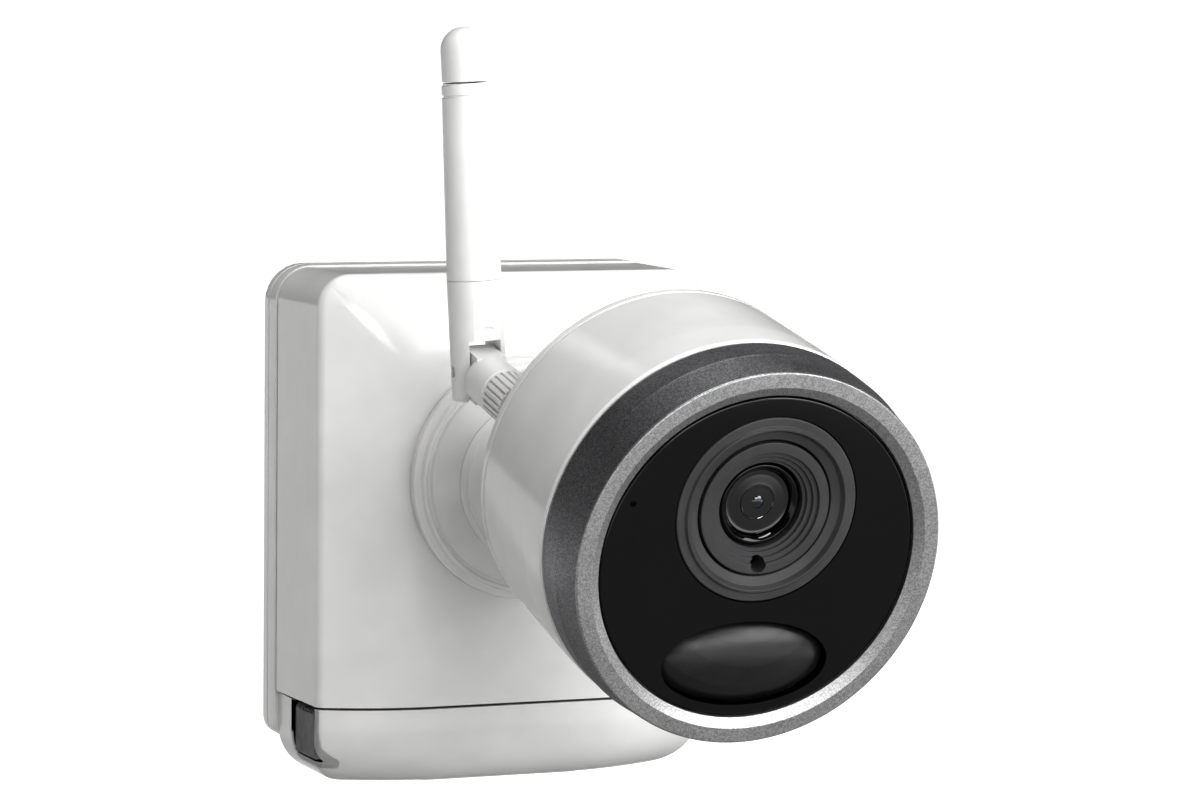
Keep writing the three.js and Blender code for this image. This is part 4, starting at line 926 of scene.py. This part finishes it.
def flange_profile(collar_radius, neck):
    """Stepped rings, then a cone that narrows towards the collar."""
    flange = half_width("socket_flange")
    cone = flange - 3.1
    step = FLANGE_STEP
    return [(0, 0.1), (flange, 0.1), (flange, step - 0.2, 0.5), (flange - 1.5, step, 0.3),
            (flange - 1.7, step + 0.9, 0.3), (cone + 0.9, step + 1.3, 0.35), (cone + 0.5, step + 0.75, 0.15),
            (cone - 0.1, step + 0.75, 0.15), (cone - 0.4, step + 1.4, 0.25),
            (collar_radius + 1.2, neck - 0.9, 4), (collar_radius + 0.2, neck - 0.2, 0.2),
            (collar_radius - COLLAR_BORE, neck - 0.2), (0, neck - 0.2)]


def collar_profile(collar_radius, neck, lip):
    """A waisted sleeve whose mouth follows the ball."""
    turns = [SOCKET_MOUTH + (SOCKET_END - SOCKET_MOUTH) * i / 10 for i in range(11)]
    rim, *socket = arc(SOCKET_RADIUS, turns, BALL_REACH)
    return [(collar_radius - COLLAR_BORE, neck), (collar_radius + 0.3, neck, 0.2),
            (collar_radius - 0.5, neck + 1.6, 3), (collar_radius, neck + 4.5, 4),
            (collar_radius, lip - 0.8, 3), (rim[0] + 0.9, lip, 0.5), (rim[0] + 0.1, rim[1] + 0.1), *socket]


def make_mount():
    low, high = span("locking_collar", MOUNT)
    radius = high.x - 0.3
    flange = forward(flange_profile(radius, -high.y))
    piece("mount_flange", flange, "box", "white_gloss", ["socket_flange"], MOUNT)
    collar = forward(collar_profile(radius, -high.y, -low.y))
    piece("locking_collar_moulding", collar, "collar", "white_gloss", ["locking_collar"], MOUNT)
    liner = forward(arc(LINER_OUTER, range(54, 126, 6)) + arc(LINER_INNER, range(120, 48, -6)))
    piece("ball_liner", liner, "ball_seat", "grey_plastic", ["ball_seat"],
          Matrix.Translation(joint_point("head_roll")))
    sphere = bmesh.new()
    bmesh.ops.create_uvsphere(sphere, u_segments=72, v_segments=48, radius=BALL_RADIUS)
    piece("mount_ball", sphere, "ball", "grey_plastic", ["ball"], BALL)
    low, high = span("ball_stud", BALL)
    post = turned([(0, low.y), (POST_RADIUS, low.y, 0.2), (POST_RADIUS, high.y, 0.4), (0, high.y)], 48)
    piece("ball_post", post, "head", "steel", ["ball_stud"], BALL)


# ---- Camera head ----

SHELL_WALL = 2.9
COVER_RIM = 2.5  # how far the back cover stands out of the tube
SPIGOT_WALL = 2.0
SPIGOT_LENGTH = 6.5
JACK_HOLE = 3.3
COVER_SINK = 1.7
BAND_SET = 0.25  # the gunmetal band starts this far in front of its CAD node
RING_ROUND = 0.9  # between the ring's outer side and its silver face
RING_FACE = 3.9
RING_WALL = 5.8
RING_STEP = 0.55
RING_FOOT = 7.2
LENS_GAP = 0.25
MICROPHONE_HOLE = 0.6
RIDGE_RADIUS = 16.3
TREADS = 3
TREAD = 0.95
TREAD_DROP = 0.7
EYE_HOLE = 1.55
DOME_STEPS = 12
IRIS_RADIUS = 3.2
MOTION_STEPS = 28


def make_head_shell():
    shell_low, shell_high = span("head_shell", HEAD)
    radius = half_width("head_shell", HEAD)
    rear = half_width("rear_cover", HEAD)
    bore = radius - SHELL_WALL
    front, back = shell_low.y, shell_high.y
    shell = [(bore, front), (radius - 0.3, front, 0.22), (radius, front + 0.7, 0.5),
             (radius - 0.1, front + 9, 40), (rear + 0.35, back - 8, 60), (rear, back, 0.25), (bore, back)]
    piece("head_tube", turned(shell), "head", "white_gloss", ["head_shell"], HEAD)
    length = span("rear_cover", HEAD)[1].y - COVER_RIM
    screws = [middle(node, HEAD) for node in COVER_SCREWS]
    piece("head_back", back_cover(length, rear, bore, screws), "head", "white_gloss", ["rear_cover"], HEAD)
    heads = [shifted(screw_head(), s.x, length - 0.2, s.z) for s in screws]
    piece("cover_screw_heads", merged(*heads), "head", "steel", COVER_SCREWS, HEAD)


def back_cover(length, rear, bore, screws):
    """A disc with sunk screws and a hole for the antenna, a spigot inside the tube, and the ball's boss."""
    post = middle("ball_stud", HEAD)
    jack = middle("antenna_jack", HEAD)
    sinks = [(circle(2.9, s.x, s.z, 36), -COVER_SINK) for s in screws]
    edge = [(0, 1.3), (0.05, 0.9), (0.2, 0.5), (0.5, 0.18), (0.9, 0.03), (1.3, 0), (2.3, 0), (2.5, 0.2)]
    disc = stacked(lambda inset: circle(rear - inset, steps=128), [(length - y, inset) for y, inset in edge],
                   [circle(JACK_HOLE, jack.x, jack.z, 36)], sinks)
    outer = bore - FIT_GAP
    inner = outer - SPIGOT_WALL
    spigot = turned([(inner, length - 2.4), (outer, length - 2.4), (outer, length - SPIGOT_LENGTH, 0.3),
                     (inner, length - SPIGOT_LENGTH, 0.3)])
    boss = turned([(3.8, length - 0.5), (11, length - 0.5), (9.4, length + 0.3, 1.6), (8, length + 2.5, 1.0),
                   (3.8, length + 2.5, 0.3)], 72)
    return merged(disc, spigot, shifted(boss, post.x, 0, post.z))


def make_rings():
    """The gunmetal band, and the front ring: silver in front, gunmetal behind its rounded edge."""
    band_low, band_high = span("dark_band", HEAD)
    band = half_width("dark_band", HEAD)
    shell_front = span("head_shell", HEAD)[0].y
    start = band_low.y - BAND_SET
    profile = [(band - 5, start), (band, start), (band, shell_front - 0.75, 0.3),
               (band - 0.7, shell_front - 0.35, 0.2), (band - 2.4, shell_front - 0.35),
               (band - 2.8, band_high.y), (band - 5, band_high.y)]
    piece("gunmetal_band", turned(profile), "head", "band_metal", ["dark_band"], HEAD)
    outer = half_width("front_ring", HEAD)
    back = span("front_ring", HEAD)[1].y - 0.5
    face = outer - RING_ROUND
    bore = outer - RING_WALL
    foot = outer - RING_FOOT
    panel_back = span("front_panel", HEAD)[1].y + 0.3
    trim = [(outer - RING_FACE, 0, 0.15), (face, 0, 0.4), (face, RING_STEP), (face - 1, RING_STEP),
            (face - 1, back), (foot, back), (foot, panel_back), (bore, panel_back), (bore, 1.15, 0.15)]
    piece("silver_ring", turned(trim, 144), "head", "ring_metal", ["front_ring"], HEAD)
    skirt = [(face - 0.9, RING_STEP + 0.03), (face + 0.02, RING_STEP + 0.03), (band - 0.12, start - 0.5, 8),
             (band, start - 0.02), (face - 0.9, start - 0.02)]
    piece("gunmetal_skirt", turned(skirt, 144), "head", "band_metal", [], HEAD)


def make_window():
    """The polished black panel, with openings for the lens, the motion lens and the microphone."""
    low, high = span("front_panel", HEAD)
    radius = half_width("front_panel", HEAD)
    motion_low, motion_high = span("motion_lens", HEAD)
    mic = middle("microphone", HEAD)
    wide = (motion_high.x - motion_low.x) / 2 + LENS_GAP
    tall = (motion_high.z - motion_low.z) / 2 + LENS_GAP
    holes = [circle(half_width("lens_hood", HEAD) + LENS_GAP, LENS_MIDDLE.x, LENS_MIDDLE.z, 120),
             circle(wide, MOTION_MIDDLE.x, MOTION_MIDDLE.z, 120, tall / wide),
             circle(MICROPHONE_HOLE, mic.x, mic.z, 24)]
    levels = [(low.y, 0.55), (low.y + 0.08, 0.3), (low.y + 0.3, 0.08), (low.y + 0.55, 0), (high.y, 0)]
    panel = stacked(lambda inset: circle(radius - inset, steps=144), levels, holes)
    piece("black_window", panel, "head", "panel_black", ["front_panel"], HEAD)
    front = low.y - 0.05
    rim = turned([(0.62, low.y), (0.62, front), (0.82, front), (0.82, low.y)], 32)
    piece("microphone_rim", shifted(rim, mic.x, 0, mic.z), "head", "panel_black", [], HEAD)


def make_lens():
    """The hood ring, the stepped baffle with its light sensor's hole, and the lens tube."""
    low, high = span("lens_hood", LENS)
    radius = half_width("lens_hood", LENS)
    face = low.y + 0.3
    baffle = half_width("lens_baffle", LENS)
    ridge = RIDGE_RADIUS
    hood = [(baffle + 0.3, face + 2.6), (baffle + 0.5, face + 1.3, 0.2), (ridge - 0.9, face + 0.75, 0.2),
            (ridge - 0.35, face - 0.25, 0.12), (ridge + 0.1, face - 0.25, 0.12),
            (ridge + 0.45, face + 0.25, 0.15), (radius, face + 0.25, 0.3), (radius, high.y),
            (baffle + 0.3, high.y)]
    piece("hood_ring", turned(hood, 144), "head", "baffle_black", ["lens_hood"], LENS)
    front, back = (corner.y for corner in span("lens_baffle", LENS))
    bore = half_width("lens_barrel", LENS) + FIT_GAP
    steps = []
    for i in range(TREADS):
        r = bore + 0.57 + TREAD * i
        y = front + TREAD_DROP * (TREADS - i)
        steps += [(r, y, 0.08), (r + 0.12, y - TREAD_DROP, 0.08)]
    rings = [(bore, front + TREADS * TREAD_DROP), *steps, (baffle - 1.2, front), (baffle, front, 0.25),
             (baffle, back), (bore, back)]
    eye = middle("light_sensor", LENS)
    hole = shifted(rod(EYE_HOLE, -3, 12, 0.05), eye.x, 0, eye.z)
    piece("stepped_baffle", carved(turned(rings, 144), hole), "head", "baffle_black", ["lens_baffle"], LENS)
    front, back = (corner.y for corner in span("lens_barrel", LENS))
    outer = half_width("lens_barrel", LENS)
    bore = half_width("front_lens", LENS) + FIT_GAP
    tube = [(bore - 0.5, front + 3), (bore, front + 2.4), (bore, front + 0.75, 0.1),
            (bore + 0.35, front + 0.35, 0.1), (bore + 0.75, front, 0.2), (outer - 0.5, front, 0.3),
            (outer, front + 0.6, 0.3), (outer, back), (bore - 0.5, back)]
    piece("lens_tube", turned(tube), "head", "panel_black", ["lens_barrel"], LENS)


def make_glass():
    """The front element: a shallow dark dome, the ring of the iris, and the small element in the middle."""
    front, back = (corner.y for corner in span("front_lens", LENS))
    radius = half_width("front_lens", LENS)
    shares = [i / DOME_STEPS for i in range(DOME_STEPS + 1)]
    dome = [(radius * 0.92 * share, front + 0.35 + 0.35 * share ** 2) for share in shares]
    half = DOME_STEPS // 2
    level = dome[half][1]
    crest = level - 0.12
    ridge = [(IRIS_RADIUS, level), (IRIS_RADIUS + 0.1, crest, 0.03), (IRIS_RADIUS + 0.25, crest, 0.03),
             (IRIS_RADIUS + 0.35, level + 0.02)]
    bowl = [*dome[:half + 1], *ridge, *dome[half + 2:], (radius, front + 0.5), (radius, back), (0, back)]
    piece("front_glass", turned(bowl), "head", "lens_glass", ["front_lens"], LENS)
    pupil = [(0, front), (0.5, front + 0.03), (1.0, front + 0.14), (1.4, front + 0.5), (0, front + 0.5)]
    piece("inner_glass", turned(pupil, 64), "head", "sensor", [], LENS)


def make_motion_lens():
    """An oval cap of an ellipsoid that stands out of the panel and reaches behind it."""
    low, high = span("motion_lens", MOTION)
    front, back = (corner.y for corner in span("front_panel", HEAD))
    depth = 3 * (front - low.y)
    grow = 1 / math.sqrt(1 - ((low.y + depth - back) / depth) ** 2)
    shares = [i / MOTION_STEPS for i in range(MOTION_STEPS + 1)]
    dome = [(share, low.y + depth * (1 - math.sqrt(1 - (share / grow) ** 2))) for share in shares]
    lens = turned([*dome, (1, back + 0.6), (0, back + 0.6)], 144)
    bmesh.ops.scale(lens, vec=((high.x - low.x) / 2, 1, (high.z - low.z) / 2), verts=lens.verts)
    piece("motion_window", lens, "head", "motion_lens", ["motion_lens"], MOTION)


# ---- Antenna ----

NUT_RIBS = 24
RIB_HEIGHT = 0.45
TONGUE_HALF = 3
SLOT_HALF = 3.3
SLOT_REACH = 9  # well past the fork's side
FORK_BORE = 2.7
FORK_CUP = 5
PIN_RADIUS = 1.1
PIN_HOLE = 1.15
SWING_STEPS = 4
BARREL_REACH = 14
GROOVE = 0.32
SLEEVE_TAPER = 0.16  # share of the whip's radius that is left between the cap's and the foot's


def ribbed_nut():
    low, high = span("knurled_nut", ANTENNA)
    rib = (high.x - low.x) / 2

    def outline(inset):
        points = []
        for i in range(NUT_RIBS):
            for share, fall in ((0.0, RIB_HEIGHT), (0.3, RIB_HEIGHT), (0.38, 0.0), (0.92, 0.0)):
                a = math.tau * (i + share) / NUT_RIBS
                points.append(((rib - fall - inset) * math.cos(a), (rib - fall - inset) * math.sin(a)))
        return points

    return stacked(outline, soft_ends(low.y, high.y, 0.3), [circle(2.1, steps=36)])


def antenna_barrel():
    """The swivel base: a barrel that ends in a flat tongue with a round end, which the fork holds."""
    start = span("knurled_nut", ANTENNA)[1].y + FIT_GAP
    hinge_y = ((ANTENNA @ TO_METRES).inverted() @ FOLD_POINT).y
    shoulder = hinge_y - half_width("whip_fork", WHIP) - FIT_GAP
    base = half_width("antenna_base", ANTENNA)
    barrel = turned([(0, start), (base, start, 0.5), (base, shoulder, 0.35), (0, shoulder)], 72)
    side = base - 0.25
    tip = hinge_y + base - 0.2
    outline = rounded([(shoulder - 1, -side), (tip, -side, base - 0.3), (tip, side, base - 0.3),
                       (shoulder - 1, side)])
    across = Matrix.Rotation(-QUARTER, 4, "Z") @ Matrix.Scale(-1, 4, (1, 0, 0))
    tongue = shifted(stacked(lambda inset: outline, [(-TONGUE_HALF, 0), (TONGUE_HALF, 0)]), turn=across)
    bmesh.ops.recalc_face_normals(tongue, faces=tongue.faces)
    return merged(barrel, tongue)


def antenna_fork(radius, base):
    """The whip's foot, with a slot for the tongue, and room for the barrel at every angle of the fold."""
    foot, top = (corner.y for corner in span("whip_fork", WHIP))
    fork = turned([(0, foot), (radius, foot, 0.7), (radius, top, 0.12), (FORK_BORE, top),
                   (FORK_BORE, top - FORK_CUP), (0, top - FORK_CUP)], 96)
    reach = SLOT_REACH
    slot = shifted(block(-SLOT_HALF, SLOT_HALF, -reach, reach, -reach, reach), y=base + 1 - reach)
    relief = shifted(rod(SLOT_HALF, -reach, reach, 0.05), y=base + 0.6, turn=ALONG_Z)
    arch = carved(relief, block(-reach, reach, -reach, 30, -radius + 0.5, radius - 0.5))
    fold_low, fold_high = joints["antenna_fold"]["range_deg"]
    turns = [math.radians((fold_high - fold_low) * i / SWING_STEPS) for i in range(SWING_STEPS + 1)]
    swing = [shifted(rod(base + 0.35, radius - 0.05, BARREL_REACH, 0.05),
                     turn=Matrix.Rotation(a, 4, "X") @ ALONG_Z) for a in turns]
    pin_hole = shifted(rod(PIN_HOLE, -reach, reach, 0.05), turn=ALONG_X)
    return carved(fork, slot, arch, *swing, pin_hole)


def make_whip(radius):
    """The sleeve, which thins towards two grooves near its top, the round cap and the hinge's pin."""
    low, high = span("whip_sleeve", WHIP)
    tip = half_width("whip_cap", WHIP)
    start, end = low.y - 0.24, high.y
    r = tip + (radius - tip) * SLEEVE_TAPER
    sunk = r - GROOVE
    sleeve = [(FORK_BORE, start), (radius, start, 0.12), (r, end - 2.9, 0.08), (sunk, end - 2.75),
              (sunk, end - 2.4), (r, end - 2.25, 0.08), (r, end - 0.55, 0.08), (sunk, end - 0.4), (sunk, end),
              (FORK_BORE, end)]
    piece("antenna_sleeve", turned(sleeve, 96), "whip", "white_satin", ["whip_sleeve"], WHIP)
    low, high = span("whip_cap", WHIP)
    cap = [(0, low.y), (tip, low.y, 0.2), (tip, high.y, tip - 0.01), (0, high.y)]
    piece("antenna_tip", turned(cap, 96), "whip", "white_satin", ["whip_cap"], WHIP)
    low, high = span("whip_pin", WHIP)
    pin = shifted(rod(PIN_RADIUS, low.x, high.x, 0.3), turn=ALONG_X)
    piece("antenna_pin", pin, "whip", "white_satin", ["whip_pin"], WHIP)


def make_antenna():
    radius = half_width("whip_fork", WHIP)
    fork = antenna_fork(radius, half_width("antenna_base", ANTENNA))
    piece("ribbed_nut", ribbed_nut(), "antenna_nut", "white_satin", ["knurled_nut"], ANTENNA)
    piece("antenna_barrel", antenna_barrel(), "antenna_base", "white_satin", ["antenna_base"], ANTENNA)
    piece("antenna_fork", fork, "whip", "white_satin", ["whip_fork"], WHIP)
    make_whip(radius)


# ---- CAD nodes that keep their own shape ----

KEPT = {
    "rubber": ["housing_gasket", "shell_seal", "antenna_lead"],
    "steel": ["flange_screw_1", "flange_screw_2", "flange_screw_3", "latch_pin", "latch_spring",
              "motion_sensor", "microphone"],
    "brass": ["battery_contacts", "antenna_jack", "radiator"],
    "board": ["power_board", "main_board"],
    "baffle_black": ["lens_holder", "light_sensor"],
    "lens_glass": ["ir_filter", "ir_led_left", "ir_led_right"],
    "sensor": ["image_sensor"],
}


def dress_kept_nodes():
    for slot, names in KEPT.items():
        for name in names:
            for holder in frame["nodes"][name].material_slots:
                holder.material = materials[slot]


make_camera()
make_light()
materials = make_materials()
make_floor()
make_box()
make_mount()
make_head_shell()
make_rings()
make_window()
make_lens()
make_glass()
make_motion_lens()
make_antenna()
dress_kept_nodes()
